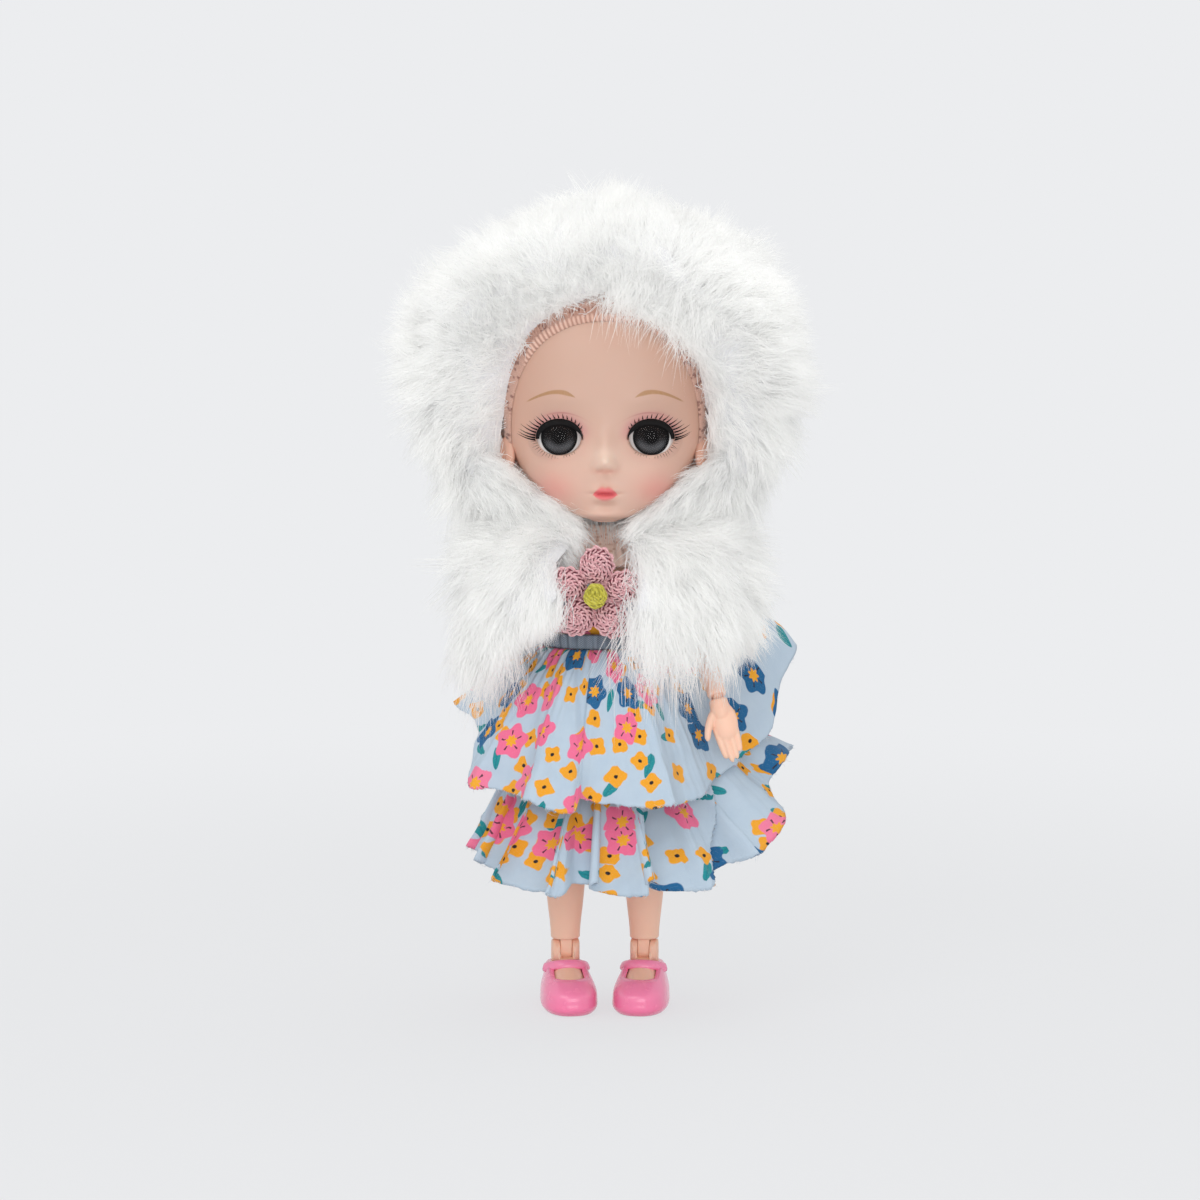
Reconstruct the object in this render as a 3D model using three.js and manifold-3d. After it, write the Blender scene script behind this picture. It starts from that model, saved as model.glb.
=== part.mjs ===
// A small jointed doll on a key ring: vinyl head with acrylic eyes, plastic body on ball pegs,
// a tiered cotton dress, moulded shoes, and a long-pile hood and cape closed by a crochet flower.
// Millimetres, +Z up. The doll faces -Y, and its own left side is +X.
import * as THREE from "three";
import { mergeVertices } from "three/addons/utils/BufferGeometryUtils.js";
import Module from "manifold-3d";

// Driving dimensions: fits
const seatGap = 0.3;
const clothGap = 0.5;

// Driving dimensions: legs, from the ground up
const ankleHeight = 11.6;
const shinLength = 24.9;
const thighLength = 26;
const hipHalfSpacing = 8.5;
const legDepth = 4.5;
const toeIn = 8;
const kneeRadius = 4.3;
const ankleRadius = 3.1;
const thighRadius = 5.6;

// Driving dimensions: trunk
const torsoLength = 34.5;
const torsoWall = 2;
const torsoSplit = 0.6;
const shoulderHalfSpacing = 16.8;
const neckRise = 13.2;
const neckDepth = 1.4;

// Driving dimension: how far the trunk's axis stands in front of the middle of the whole doll's box
const axisAheadOfOrigin = 5.3;

// Driving dimensions: ball joints
const hipBall = 4.4;
const kneeBall = 3;
const shoulderBall = 3.1;
const elbowBall = 2;
const neckBall = 4.4;
const hipPin = 1.6;
const shoulderPin = 1.3;
const kneeStem = 1.5;
const elbowStem = 1;
const wristPin = 0.9;
const anklePin = 0.8;
const neckStem = 2.6;

// Driving dimensions: arms
const upperArmLength = 17.3;
const forearmLength = 14.3;
const handLength = 14.6;
const upperArmRadius = 2.9;
const elbowRadius = 2.5;
const wristRadius = 1.95;

// Driving dimensions: head
const headWall = 2;
const headSplit = 4;
const chinDrop = 5.3;
const eyeHalfSpacing = 9.3;
const eyeRise = 13;
const eyeDepth = 11.4;
const eyeRadius = 6;
const eyeOpeningWidth = 12.4;
const eyeOpeningHeight = 10;
const irisRadius = 4.3;
const irisThickness = 0.6;
const lashThickness = 0.5;

// Driving dimensions: hood
const liningThickness = 1;
const openingHalfWidth = 20.6;
const openingTop = 38.6;
const bandWidth = 2.6;
const hoodNeckAngle = 10;

// Driving dimensions: dress
const clothThickness = 1;
const waistRise = 16.2;
const bandHeight = 2.6;
const bodiceHeight = 10.6;
const upperFoldCount = 12;
const upperFoldDepth = 1.5;
const upperFlare = 0.85;
const lowerFoldCount = 16;
const lowerFoldDepth = 2.3;
const lowerFlare = 1.6;

// Driving dimensions: shoes
const shoeLength = 23;
const shoeHalfWidth = 6.1;
const shoeHeight = 10.4;
const heelReach = 8.2;
const shoeWall = 1.2;
const soleThickness = 1.6;

// Driving dimensions: flower, chain and key ring
const petalRadius = 4.4;
const petalThickness = 2.2;
const flowerRadius = 5.6;
const flowerOffset = 1.2;
const flowerDrop = 6;
const linkWire = 0.7;
const linkLength = 8.4;
const linkWidth = 6;
const keyRingRadius = 11;
const keyRingWire = 0.9;
const keyRingPitch = 2.3;
const tabWidth = 3.2;
const tabWall = 0.8;
const tabReach = 6.8;
const linkPlay = 0.6;

// Places worked out from the dimensions above
const kneeHeight = ankleHeight + shinLength;
const hipHeight = kneeHeight + thighLength;
const shoulderHeight = hipHeight + torsoLength;
const neckHeight = shoulderHeight + neckRise;
const chinHeight = neckHeight - chinDrop;
const eyeHeight = neckHeight + eyeRise;
const waistHeight = hipHeight + waistRise;

const wasm = await Module();
wasm.setup();

// Materials

const material = (name, color, roughness, metalness = 0) =>
  Object.assign(new THREE.MeshStandardMaterial({ color, roughness, metalness }), { name });

const skin = material("skin", 0xe6bda8, 0.5);
const eyeAcrylic = material("eye acrylic", 0xf4f1ee, 0.15);
const irisPrint = material("iris print", 0x2b2a2c, 0.25);
const clearAcrylic = material("clear acrylic", 0xdfe5ea, 0.05);
const lashFibre = material("lash fibre", 0x1c1a1c, 0.7);
const furPile = material("fur pile", 0xf4f4f4, 0.9);
const knit = material("rose knit", 0xcb8f78, 0.85);
const cotton = material("printed cotton", 0xbfd3e2, 0.85);
const bandCloth = material("band cloth", 0x8fa3b3, 0.85);
const crochetYarn = material("crochet yarn", 0xd08f9b, 0.9);
const centreYarn = material("centre yarn", 0xc9c443, 0.9);
const shoeVinyl = material("shoe vinyl", 0xfb6f9f, 0.3);
const steel = material("nickel steel", 0xbfc2c6, 0.25, 1);

// Solids

function solidFrom(geometry) {
  const bare = geometry.clone();
  for (const name of Object.keys(bare.attributes)) {
    if (name !== "position") bare.deleteAttribute(name);
  }
  const merged = mergeVertices(bare, 1e-4);
  const vertProperties = new Float32Array(merged.attributes.position.array);
  const triVerts = new Uint32Array(merged.index.array);
  return new wasm.Manifold(new wasm.Mesh({ numProp: 3, vertProperties, triVerts }));
}

function geometryFrom(solid) {
  const mesh = solid.getMesh();
  const geometry = new THREE.BufferGeometry();
  geometry.setAttribute("position", new THREE.BufferAttribute(new Float32Array(mesh.vertProperties), 3));
  geometry.setIndex(new THREE.BufferAttribute(new Uint32Array(mesh.triVerts), 1));
  return geometry;
}

const cut = (geometry, ...tools) =>
  geometryFrom(tools.reduce((left, tool) => left.subtract(solidFrom(tool)), solidFrom(geometry)));

const join = (geometry, ...others) =>
  geometryFrom(others.reduce((whole, other) => whole.add(solidFrom(other)), solidFrom(geometry)));

const keep = (geometry, region) => geometryFrom(solidFrom(geometry).intersect(solidFrom(region)));

const boxBetween = (low, high) =>
  new THREE.BoxGeometry(high[0] - low[0], high[1] - low[1], high[2] - low[2]).translate(
    (low[0] + high[0]) / 2,
    (low[1] + high[1]) / 2,
    (low[2] + high[2]) / 2,
  );

const far = 200;
const inFrontOf = (y) => boxBetween([-far, -far, -far], [far, y, far]);
const behind = (y) => boxBetween([-far, y, -far], [far, far, far]);

const ball = (radius, x, y, z, sides = 10) =>
  new THREE.SphereGeometry(radius, sides, Math.round(sides / 2)).rotateX(Math.PI / 2).translate(x, y, z);

// A round bar between two points
function bar(radius, from, to, sides = 8) {
  const start = new THREE.Vector3(...from);
  const run = new THREE.Vector3(...to).sub(start);
  const turn = new THREE.Quaternion().setFromUnitVectors(new THREE.Vector3(0, 1, 0), run.clone().normalize());
  const middle = start.clone().addScaledVector(run, 0.5);
  return new THREE.CylinderGeometry(radius, radius, run.length(), sides)
    .applyQuaternion(turn)
    .translate(middle.x, middle.y, middle.z);
}

// A turned piece from [radius, height] points that start and end on the axis, or that close on themselves
const turned = (points, sides = 11) =>
  new THREE.LatheGeometry(points.map(([r, z]) => new THREE.Vector2(r, z)), sides).rotateX(Math.PI / 2);

// Closes rings of points into one skin, the first and last ring capped, or the last joined to the first
function loft(rings, looped = false) {
  const count = rings[0].length;
  const points = rings.flat();
  const index = [];
  const bands = looped ? rings.length : rings.length - 1;
  for (let i = 0; i < bands; i++) {
    const low = i * count;
    const high = ((i + 1) % rings.length) * count;
    for (let j = 0; j < count; j++) {
      const next = (j + 1) % count;
      index.push(low + j, low + next, high + next, low + j, high + next, high + j);
    }
  }
  const capEnd = (ring, start, flip) => {
    const centre = ring.reduce((sum, p) => sum.add(p), new THREE.Vector3()).divideScalar(count);
    const tip = points.push(centre) - 1;
    for (let j = 0; j < count; j++) {
      const edge = [start + j, start + ((j + 1) % count)];
      index.push(tip, ...(flip ? edge.reverse() : edge));
    }
  };
  if (!looped) {
    capEnd(rings[0], 0, true);
    capEnd(rings.at(-1), (rings.length - 1) * count, false);
  }
  const geometry = new THREE.BufferGeometry().setFromPoints(points);
  geometry.setIndex(index);
  return geometry;
}

// An oval ring at one height: half width in x, then how far it reaches forward and back
function ovalRing(height, halfWidth, front, back, count, squareness = 2.2) {
  const middle = (back - front) / 2;
  const halfDepth = (back + front) / 2;
  const rounded = (value) => Math.sign(value) * Math.abs(value) ** (2 / squareness);
  return Array.from({ length: count }, (_, i) => {
    const angle = (2 * Math.PI * i) / count;
    return new THREE.Vector3(
      halfWidth * rounded(Math.cos(angle)),
      middle + halfDepth * rounded(Math.sin(angle)),
      height,
    );
  });
}

// A body from rows of [height, half width, front, back], grown by a skin of even thickness
function sectionBody(rows, base, grow = 0, count = 16) {
  const least = 0.6;
  const heights = rows.map((row) => row[0]);
  const middle = (heights[0] + heights.at(-1)) / 2;
  const half = (heights.at(-1) - heights[0]) / 2;
  return loft(
    rows.map(([height, halfWidth, front, back]) => {
      const lifted = middle + (height - middle) * (1 + grow / half);
      const wide = Math.max(least, halfWidth + grow);
      const depth = Math.max(least, (front + back) / 2 + grow);
      const centre = (back - front) / 2;
      return ovalRing(base + lifted, wide, depth - centre, depth + centre, count);
    }),
  );
}

function mesh(name, geometry, finish) {
  const made = new THREE.Mesh(geometry, finish);
  made.name = name;
  return made;
}

// Head: a hollow vinyl shell split into a face and a back cap, with its eyes and lashes

const headRows = [
  [0, 3.2, 14.5, -7],
  [1.1, 7.5, 16.8, 1],
  [3.1, 10.8, 17.8, 6],
  [6.1, 14.2, 18.6, 11],
  [10.1, 17.4, 19, 15.5],
  [15.1, 19.9, 19.2, 18.6],
  [21.1, 21.2, 19, 20.4],
  [27.1, 21.4, 18.7, 21],
  [33.1, 20.9, 18, 20.8],
  [39.1, 19.2, 16.3, 19.2],
  [44.1, 16.3, 13.3, 16.4],
  [48.1, 11.8, 8.9, 12],
  [50.6, 6, 4, 6.4],
];
const headBody = (grow, count = 20) => sectionBody(headRows, chinHeight, grow, count);

const boreRoom = 2;
const boreFoot = chinHeight - 5;
const boreTop = neckHeight + 4;
const neckBore = bar(neckBall + boreRoom, [0, neckDepth, boreFoot], [0, neckDepth, boreTop], 14);
const eyeAt = (side) => [side * eyeHalfSpacing, -eyeDepth, eyeHeight];

function eyeOpening(side) {
  const [x, , z] = eyeAt(side);
  const reach = 14;
  return new THREE.CylinderGeometry(1, 1, reach, 16)
    .scale(eyeOpeningWidth / 2, 1, eyeOpeningHeight / 2)
    .translate(x, -eyeDepth - reach / 2, z);
}

function makeHead() {
  const group = new THREE.Group();
  const sides = [1, -1];
  const hollow = cut(headBody(0), headBody(-headWall, 12), neckBore);
  const sockets = sides.flatMap((side) => [eyeOpening(side), ball(eyeRadius + seatGap, ...eyeAt(side), 16)]);
  group.add(
    mesh("face_shell", cut(keep(hollow, inFrontOf(headSplit - seatGap / 2)), ...sockets), skin),
    mesh("head_cap", keep(hollow, behind(headSplit + seatGap / 2)), skin),
    mesh("neck_socket", neckSocket(), skin),
  );
  for (const side of sides) group.add(...makeEye(side));
  return group;
}

// The cup in the head's base that snaps over the neck ball
function neckSocket() {
  const wall = 1.7;
  const height = 3.4;
  const throatRoom = 1.2;
  const outer = neckBall + wall;
  const cup = bar(outer, [0, neckDepth, neckHeight - height], [0, neckDepth, neckHeight + height], 14);
  const throatFoot = [0, neckDepth, neckHeight - far];
  const throat = bar(neckStem + throatRoom, throatFoot, [0, neckDepth, neckHeight + far]);
  return cut(cup, ball(neckBall + seatGap, 0, neckDepth, neckHeight, 14), throat);
}

function makeEye(side) {
  const tag = side > 0 ? "left" : "right";
  const [x, y, z] = eyeAt(side);
  const irisFront = y - Math.sqrt(eyeRadius ** 2 - irisRadius ** 2);
  const irisBack = irisFront + irisThickness;
  const pocketBack = irisBack + seatGap / 2;
  const pocket = bar(irisRadius + seatGap / 2, [x, pocketBack, z], [x, irisFront - eyeRadius, z], 16);
  const white = cut(ball(eyeRadius, x, y, z, 16), behind(y), pocket);
  const iris = bar(irisRadius, [x, irisBack, z], [x, irisFront, z], 16);
  const lensColumn = bar(irisRadius, [x, irisFront - seatGap / 2, z], [x, irisFront - eyeRadius, z], 16);
  const lens = keep(ball(eyeRadius, x, y, z, 16), lensColumn);
  return [
    mesh(`eye_white_${tag}`, white, eyeAcrylic),
    mesh(`eye_iris_${tag}`, iris, irisPrint),
    mesh(`eye_lens_${tag}`, lens, clearAcrylic),
    mesh(`upper_lash_${tag}`, lashStrip(side), lashFibre),
  ];
}

// A strip of lashes along the upper rim of the eye opening, longest at the outer corner
function lashStrip(side) {
  const [x, , z] = eyeAt(side);
  const rim = 0.4;
  const steps = 7;
  const innerCorner = 0.93;
  const sweep = 0.86;
  const innerWidth = 0.7;
  const outerFlare = 1.5;
  const depth = 16;
  const outline = [];
  const along = (share) => Math.PI * (innerCorner - sweep * share);
  const point = (share, out) => {
    const angle = along(share);
    const wide = eyeOpeningWidth / 2 + rim + out;
    const tall = eyeOpeningHeight / 2 + rim + out;
    return new THREE.Vector2(-side * wide * Math.cos(angle), tall * Math.sin(angle));
  };
  for (let i = 0; i <= steps; i++) outline.push(point(i / steps, 0));
  for (let i = steps; i >= 0; i--) outline.push(point(i / steps, innerWidth + outerFlare * (1 - i / steps)));
  const strip = new THREE.ExtrudeGeometry(new THREE.Shape(outline), { depth, bevelEnabled: false });
  strip.rotateX(Math.PI / 2).translate(x, -eyeDepth, z);
  const proud = headBody(seatGap + lashThickness);
  return keep(cut(strip, headBody(seatGap)), proud);
}

// Hood: a rose knit lining under long pile, open at the face

const hoodRows = [
  [0, 31, 12.5, 26],
  [6, 36.5, 17, 30],
  [14, 39.5, 19.5, 32.5],
  [24, 41.4, 21, 34.5],
  [34, 42, 21.5, 35.5],
  [44, 39.6, 20.5, 34.5],
  [53, 33.5, 17.5, 30.5],
  [60, 25, 13, 22.5],
  [65, 14.5, 7.5, 14],
  [67.6, 6, 2.5, 6.5],
];

// The face opening as a prism along Y, a round arch above the jaw
function faceOpening(inset) {
  const half = openingHalfWidth - inset;
  const top = openingTop - inset;
  const jaw = half * 0.62;
  const jawDrop = 14;
  const cheekRise = 6;
  const templeRise = 15;
  const browRise = top * 0.8;
  const backEdge = 1.5;
  const depth = 60;
  const shape = new THREE.Shape();
  shape.moveTo(-jaw, -jawDrop);
  shape.quadraticCurveTo(-half, cheekRise, -half, templeRise);
  shape.bezierCurveTo(-half, browRise, -jaw, top, 0, top);
  shape.bezierCurveTo(jaw, top, half, browRise, half, templeRise);
  shape.quadraticCurveTo(half, cheekRise, jaw, -jawDrop);
  shape.closePath();
  const prism = new THREE.ExtrudeGeometry(shape, { depth, bevelEnabled: false, curveSegments: 5 });
  return prism.rotateX(Math.PI / 2).translate(0, -backEdge, neckHeight);
}

// What lies under the hood's rim, a cone that leaves room for the head to nod
function neckClearance() {
  const reach = 60;
  const rise = Math.tan(THREE.MathUtils.degToRad(hoodNeckAngle));
  const drop = 4;
  const start = neckHeight - drop;
  return turned([
    [0, start],
    [reach, start + reach * rise],
    [reach, start - reach],
    [0, start - reach],
  ].reverse(), 20).translate(0, neckDepth, 0);
}

const liningInside = clothGap;
const liningOutside = liningInside + liningThickness;
const liningFoot = neckHeight + 1.5;

function makeHood() {
  const group = new THREE.Group();
  const lining = cut(
    headBody(liningOutside),
    headBody(liningInside),
    faceOpening(bandWidth),
    neckClearance(),
    boxBetween([-far, -far, -far], [far, far, liningFoot]),
  );
  const pile = cut(
    sectionBody(hoodRows, chinHeight + 1, 0, 24),
    headBody(liningOutside + clothGap),
    faceOpening(0),
    neckClearance(),
  );
  group.add(mesh("hood_lining", lining, knit), mesh("hood_fur", pile, furPile));
  return group;
}

// Trunk: two hollow shells around the neck, shoulder and hip pegs

const torsoRows = [
  [-0.7, 9.4, 6.4, 7.4],
  [2, 12, 7.6, 9],
  [5.5, 13, 8, 9.4],
  [9, 12.6, 7.8, 8.6],
  [14, 10.8, 7.2, 7],
  [19.3, 11.2, 7.6, 6.8],
  [25.5, 12.6, 8.2, 7],
  [31, 13.2, 7.6, 7],
  [34.5, 12.4, 6.5, 6.8],
  [37.3, 9, 5.2, 6.3],
  [39.3, 5.6, 4, 6.4],
  [41.2, 5, 3.6, 6.4],
];
const cavityFirstRow = 3;
const cavityLastRow = 8;
const torsoBody = (grow, rows = torsoRows, count = 16) => sectionBody(rows, hipHeight, grow, count);

const neckFlange = 1;
const shoulderPinLength = 8;
const shoulderPinRoom = 1;
const hipPinLength = 5.8;
const hipPinRoom = 0.4;

const hipAt = (side) => [side * hipHalfSpacing, legDepth, hipHeight];
const shoulderAt = (side) => [side * shoulderHalfSpacing, 0, shoulderHeight];

function makeTorso() {
  const group = new THREE.Group();
  const sides = [1, -1];
  const cavity = torsoBody(-torsoWall, torsoRows.slice(cavityFirstRow, cavityLastRow), 10);
  const holeFoot = hipHeight + 20;
  const neckHole = bar(neckStem + seatGap, [0, neckDepth, holeFoot], [0, neckDepth, neckHeight]);
  const flangeTop = shoulderHeight + 1;
  const flangeFoot = flangeTop - 7;
  const flangeWidth = neckStem + neckFlange + 0.4;
  const flangeRoom = bar(flangeWidth, [0, neckDepth, flangeFoot], [0, neckDepth, flangeTop]);
  const sockets = sides.flatMap((side) => [
    ball(hipBall + seatGap, ...hipAt(side)),
    ball(shoulderBall + seatGap, ...shoulderAt(side)),
    pinAlongX(hipPin + seatGap, hipAt(side), side, hipPinLength + hipPinRoom),
    pinAlongX(shoulderPin + seatGap, shoulderAt(side), side, shoulderPinLength + shoulderPinRoom),
  ]);
  const whole = cut(torsoBody(0), cavity, neckHole, flangeRoom, ...sockets);
  group.add(
    mesh("torso_front", keep(whole, inFrontOf(torsoSplit - seatGap / 2)), skin),
    mesh("torso_back", keep(whole, behind(torsoSplit + seatGap / 2)), skin),
    mesh("neck_peg", neckPeg(), skin),
  );
  for (const side of sides) {
    const tag = side > 0 ? "left" : "right";
    const [shoulderPlace, hipPlace] = [shoulderAt(side), hipAt(side)];
    const shoulderPeg = pinAlongX(shoulderPin, shoulderPlace, side, shoulderPinLength);
    const hipPeg = pinAlongX(hipPin, hipPlace, side, hipPinLength);
    const shoulder = join(ball(shoulderBall, ...shoulderPlace), shoulderPeg);
    const hip = join(ball(hipBall, ...hipPlace), hipPeg);
    group.add(mesh(`shoulder_ball_${tag}`, shoulder, skin), mesh(`hip_ball_${tag}`, hip, skin));
  }
  return group;
}

const pinAlongX = (radius, [x, y, z], side, length) => bar(radius, [x, y, z], [x - side * length, y, z]);

function neckPeg() {
  const foot = shoulderHeight - 2;
  const halfPlate = 1;
  const stem = bar(neckStem, [0, neckDepth, foot], [0, neckDepth, neckHeight]);
  const plateFoot = [0, neckDepth, foot - halfPlate];
  const plate = bar(neckStem + neckFlange, plateFoot, [0, neckDepth, foot + halfPlate]);
  return join(ball(neckBall, 0, neckDepth, neckHeight, 14), stem, plate);
}

// Limbs are turned about their own length, from a cup under one ball to a cone over the next

// How far round a ball the edge of its socket reaches, as a share of the radius
const socketRim = 0.62;
const sphereRadiusAt = (radius, height) => Math.sqrt(radius ** 2 - height ** 2);

function limb(length, top, bottom, cupBall, endBall, stem, swell) {
  const cup = cupBall + seatGap;
  const rim = cup * 0.68;
  const lip = 0.9;
  const end = endBall + seatGap;
  const neckLow = end * socketRim;
  const socketDepth = endBall * 1.9;
  const points = [
    [0, -cup],
    [cup * 0.5, -cup * 0.866],
    [sphereRadiusAt(cup, rim), -rim],
    [sphereRadiusAt(cup, rim) + lip, -rim - 0.1],
    [top, -rim - 1.6],
    [swell, -length * 0.45],
    [bottom, -length + end * 1.25],
    [sphereRadiusAt(end, neckLow) + 0.15, -length + neckLow + 0.25],
    [sphereRadiusAt(end, neckLow), -length + neckLow],
    [stem + seatGap, -length + sphereRadiusAt(end, stem + seatGap)],
    [stem + seatGap, -length + end + socketDepth],
    [0, -length + end + socketDepth],
  ];
  return turned(points.reverse());
}

// A ball with a stem that stands up into the limb above it
const peg = (radius, stem) => join(ball(radius, 0, 0, 0), bar(stem, [0, 0, 0], [0, 0, radius * 2.6]));

// Arms: the way each bone points at rest, and how far the palm is turned about the hand

const wristPinReach = 3;
const armPoses = {
  left: { upper: [3.7, -3.2, -16.5], fore: [3, -7.6, -12.2], hand: [3.4, -3.4, -14], palmTurn: 0 },
  right: { upper: [-4.4, 7.4, -15], fore: [-2, 5.6, -13], hand: [0.6, 3.4, -14.2], palmTurn: -122 },
};

// Turns a group so that its own -Z runs along a direction, whatever its parent's turn
function aim(group, direction, parentTurn = new THREE.Quaternion()) {
  const down = new THREE.Vector3(0, 0, -1);
  const world = new THREE.Quaternion().setFromUnitVectors(down, new THREE.Vector3(...direction).normalize());
  group.quaternion.copy(parentTurn.clone().invert().multiply(world));
  return world;
}

function makeArm(side) {
  const tag = side > 0 ? "left" : "right";
  const pose = armPoses[tag];
  const arm = new THREE.Group();
  arm.position.set(...shoulderAt(side));
  const upperTurn = aim(arm, pose.upper);
  const lower = new THREE.Group();
  lower.position.set(0, 0, -upperArmLength);
  const foreTurn = aim(lower, pose.fore, upperTurn);
  const end = new THREE.Group();
  end.position.set(0, 0, -forearmLength);
  aim(end, pose.hand, foreTurn);
  const swell = upperArmRadius;
  const upper = limb(upperArmLength, upperArmRadius, elbowRadius, shoulderBall, elbowBall, elbowStem, swell);
  arm.add(mesh(`upper_arm_${tag}`, upper, skin), lower);
  lower.add(mesh(`forearm_${tag}`, forearm(), skin), end);
  const pegTurn = lower.quaternion.clone().invert();
  const elbow = peg(elbowBall, elbowStem).applyQuaternion(pegTurn);
  lower.add(mesh(`elbow_peg_${tag}`, elbow, skin));
  const turnedHand = hand(side).rotateZ(THREE.MathUtils.degToRad(pose.palmTurn));
  end.add(mesh(`hand_${tag}`, turnedHand, skin));
  const pinTurn = end.quaternion.clone().invert();
  const upperHalf = bar(wristPin, [0, 0, wristPinReach], [0, 0, -0.2]).applyQuaternion(pinTurn);
  const lowerHalf = bar(wristPin, [0, 0, 0.1], [0, 0, -wristPinReach]);
  end.add(mesh(`wrist_pin_${tag}`, join(upperHalf, lowerHalf), skin));
  return arm;
}

function forearm() {
  const cup = elbowBall + seatGap;
  const rim = cup * socketRim;
  const pinHole = wristPin + seatGap;
  const pinRoom = wristPinReach + 0.4;
  return turned([
    [0, -cup],
    [cup * 0.5, -cup * 0.866],
    [sphereRadiusAt(cup, rim), -rim],
    [sphereRadiusAt(cup, rim) + 0.15, -rim - 0.25],
    [elbowRadius, -cup * 1.5],
    [elbowRadius * 0.98, -forearmLength * 0.45],
    [wristRadius, -forearmLength * 0.85],
    [wristRadius, -forearmLength + seatGap],
    [pinHole, -forearmLength + seatGap],
    [pinHole, -forearmLength + pinRoom],
    [0, -forearmLength + pinRoom],
  ].reverse());
}

// A mitten palm with three long fingers and a thumb that points across the front
function hand(side) {
  const capsule = (radius, from, to) => {
    const start = new THREE.Vector3(...from);
    const run = new THREE.Vector3(...to).sub(start);
    const upward = new THREE.Vector3(0, 1, 0);
    const turn = new THREE.Quaternion().setFromUnitVectors(upward, run.clone().normalize());
    const middle = start.addScaledVector(run, 0.5);
    return new THREE.CapsuleGeometry(radius, run.length(), 2, 6)
      .applyQuaternion(turn)
      .translate(middle.x, middle.y, middle.z);
  };
  const wrist = turned([
    [0, -seatGap],
    [wristRadius, -seatGap],
    [wristRadius * 1.08, -2.2],
    [0, -4],
  ].reverse(), 12);
  const palmHalfSizes = [2.9, 1.7, 3.9];
  const palm = ball(1, 0, 0, 0, 10).scale(...palmHalfSizes).translate(side * 0.3, 0, -5.2);
  const knuckle = -7;
  const fingers = [
    capsule(1, [side * -1.3, 0, knuckle], [side * -1.1, 0.9, -handLength + 3]),
    capsule(1.05, [side * 0.5, 0, knuckle], [side * 0.7, 0.5, -handLength + 1.4]),
    capsule(1, [side * 2.1, 0.1, knuckle], [side * 2, 0, -handLength + 2.4]),
    capsule(0.95, [side * -1.8, 0, -4.4], [side * -3.9, -0.6, -8.6]),
  ];
  const pinHole = bar(wristPin + seatGap, [0, 0, 1], [0, 0, -wristPinReach - seatGap]);
  return cut(join(wrist, palm, ...fingers), pinHole);
}

// Legs

function makeLeg(side) {
  const tag = side > 0 ? "left" : "right";
  const leg = new THREE.Group();
  leg.position.set(...hipAt(side));
  const thighTop = thighRadius - 0.4;
  const thigh = limb(thighLength, thighTop, kneeRadius, hipBall, kneeBall, kneeStem, thighRadius);
  const knee = new THREE.Group();
  knee.position.set(0, 0, -thighLength);
  const ankle = new THREE.Group();
  ankle.position.set(0, 0, -shinLength);
  ankle.rotation.z = THREE.MathUtils.degToRad(-side * toeIn);
  const pinHalf = ankleRadius - seatGap;
  leg.add(mesh(`thigh_${tag}`, thigh, skin), knee);
  knee.add(mesh(`knee_peg_${tag}`, peg(kneeBall, kneeStem), skin));
  knee.add(mesh(`shin_${tag}`, shin(side), skin), ankle);
  ankle.add(
    mesh(`foot_${tag}`, foot(), skin),
    mesh(`ankle_pin_${tag}`, bar(anklePin, [-pinHalf, 0, 0], [pinHalf, 0, 0]), skin),
    mesh(`shoe_${tag}`, shoe(), shoeVinyl),
  );
  return leg;
}

const tongueWidth = 2.6;
const ankleRound = 2.5;

// The lower leg ends in a flat face with a tongue that hangs into the fork of the foot
function shin(side) {
  const cup = kneeBall + seatGap;
  const rim = cup * socketRim;
  const foot = -shinLength + ankleRound + seatGap;
  const leg = turned([
    [0, -cup],
    [cup * 0.5, -cup * 0.866],
    [sphereRadiusAt(cup, rim), -rim],
    [sphereRadiusAt(cup, rim) + 0.2, -rim - 0.3],
    [kneeRadius, -cup * 1.6],
    [kneeRadius * 0.97, -shinLength * 0.4],
    [ankleRadius * 1.06, -shinLength * 0.75],
    [ankleRadius, foot],
    [0, foot],
  ].reverse());
  const half = tongueWidth / 2 - seatGap;
  const round = 1.7;
  const tongue = join(
    boxBetween([-half, -round, -shinLength], [half, round, foot + 1]),
    bar(round, [-half, 0, -shinLength], [half, 0, -shinLength]),
  );
  const turnedIn = tongue.rotateZ(THREE.MathUtils.degToRad(-side * toeIn));
  const hole = bar(anklePin + seatGap, [-3, 0, -shinLength], [3, 0, -shinLength]);
  return cut(join(leg, turnedIn), hole.rotateZ(THREE.MathUtils.degToRad(-side * toeIn)));
}

// Rows of [height share, half-width share, toe share, heel share] of a round-toed shoe
const shoeRows = [
  [0, 0.86, 0.9, 0.9],
  [0.1, 0.98, 0.985, 1],
  [0.28, 1, 1, 1],
  [0.46, 0.97, 0.965, 0.98],
  [0.62, 0.88, 0.82, 0.93],
  [0.8, 0.76, 0.52, 0.84],
  [1, 0.66, 0.3, 0.74],
];

// A last of that shoe, drawn in by an even wall, from the ankle's origin down to the ground
function last(inset, rows = shoeRows) {
  const toe = shoeLength - heelReach;
  return loft(
    rows.map(([rise, wide, front, back]) => {
      const ring = ovalRing(
        rise * shoeHeight - ankleHeight,
        wide * shoeHalfWidth - inset,
        front * toe - inset,
        back * heelReach - inset,
        16,
        2.35,
      );
      for (const p of ring) p.x *= 1 - 0.012 * (p.y + toe / 2);
      return ring;
    }),
  );
}

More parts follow.
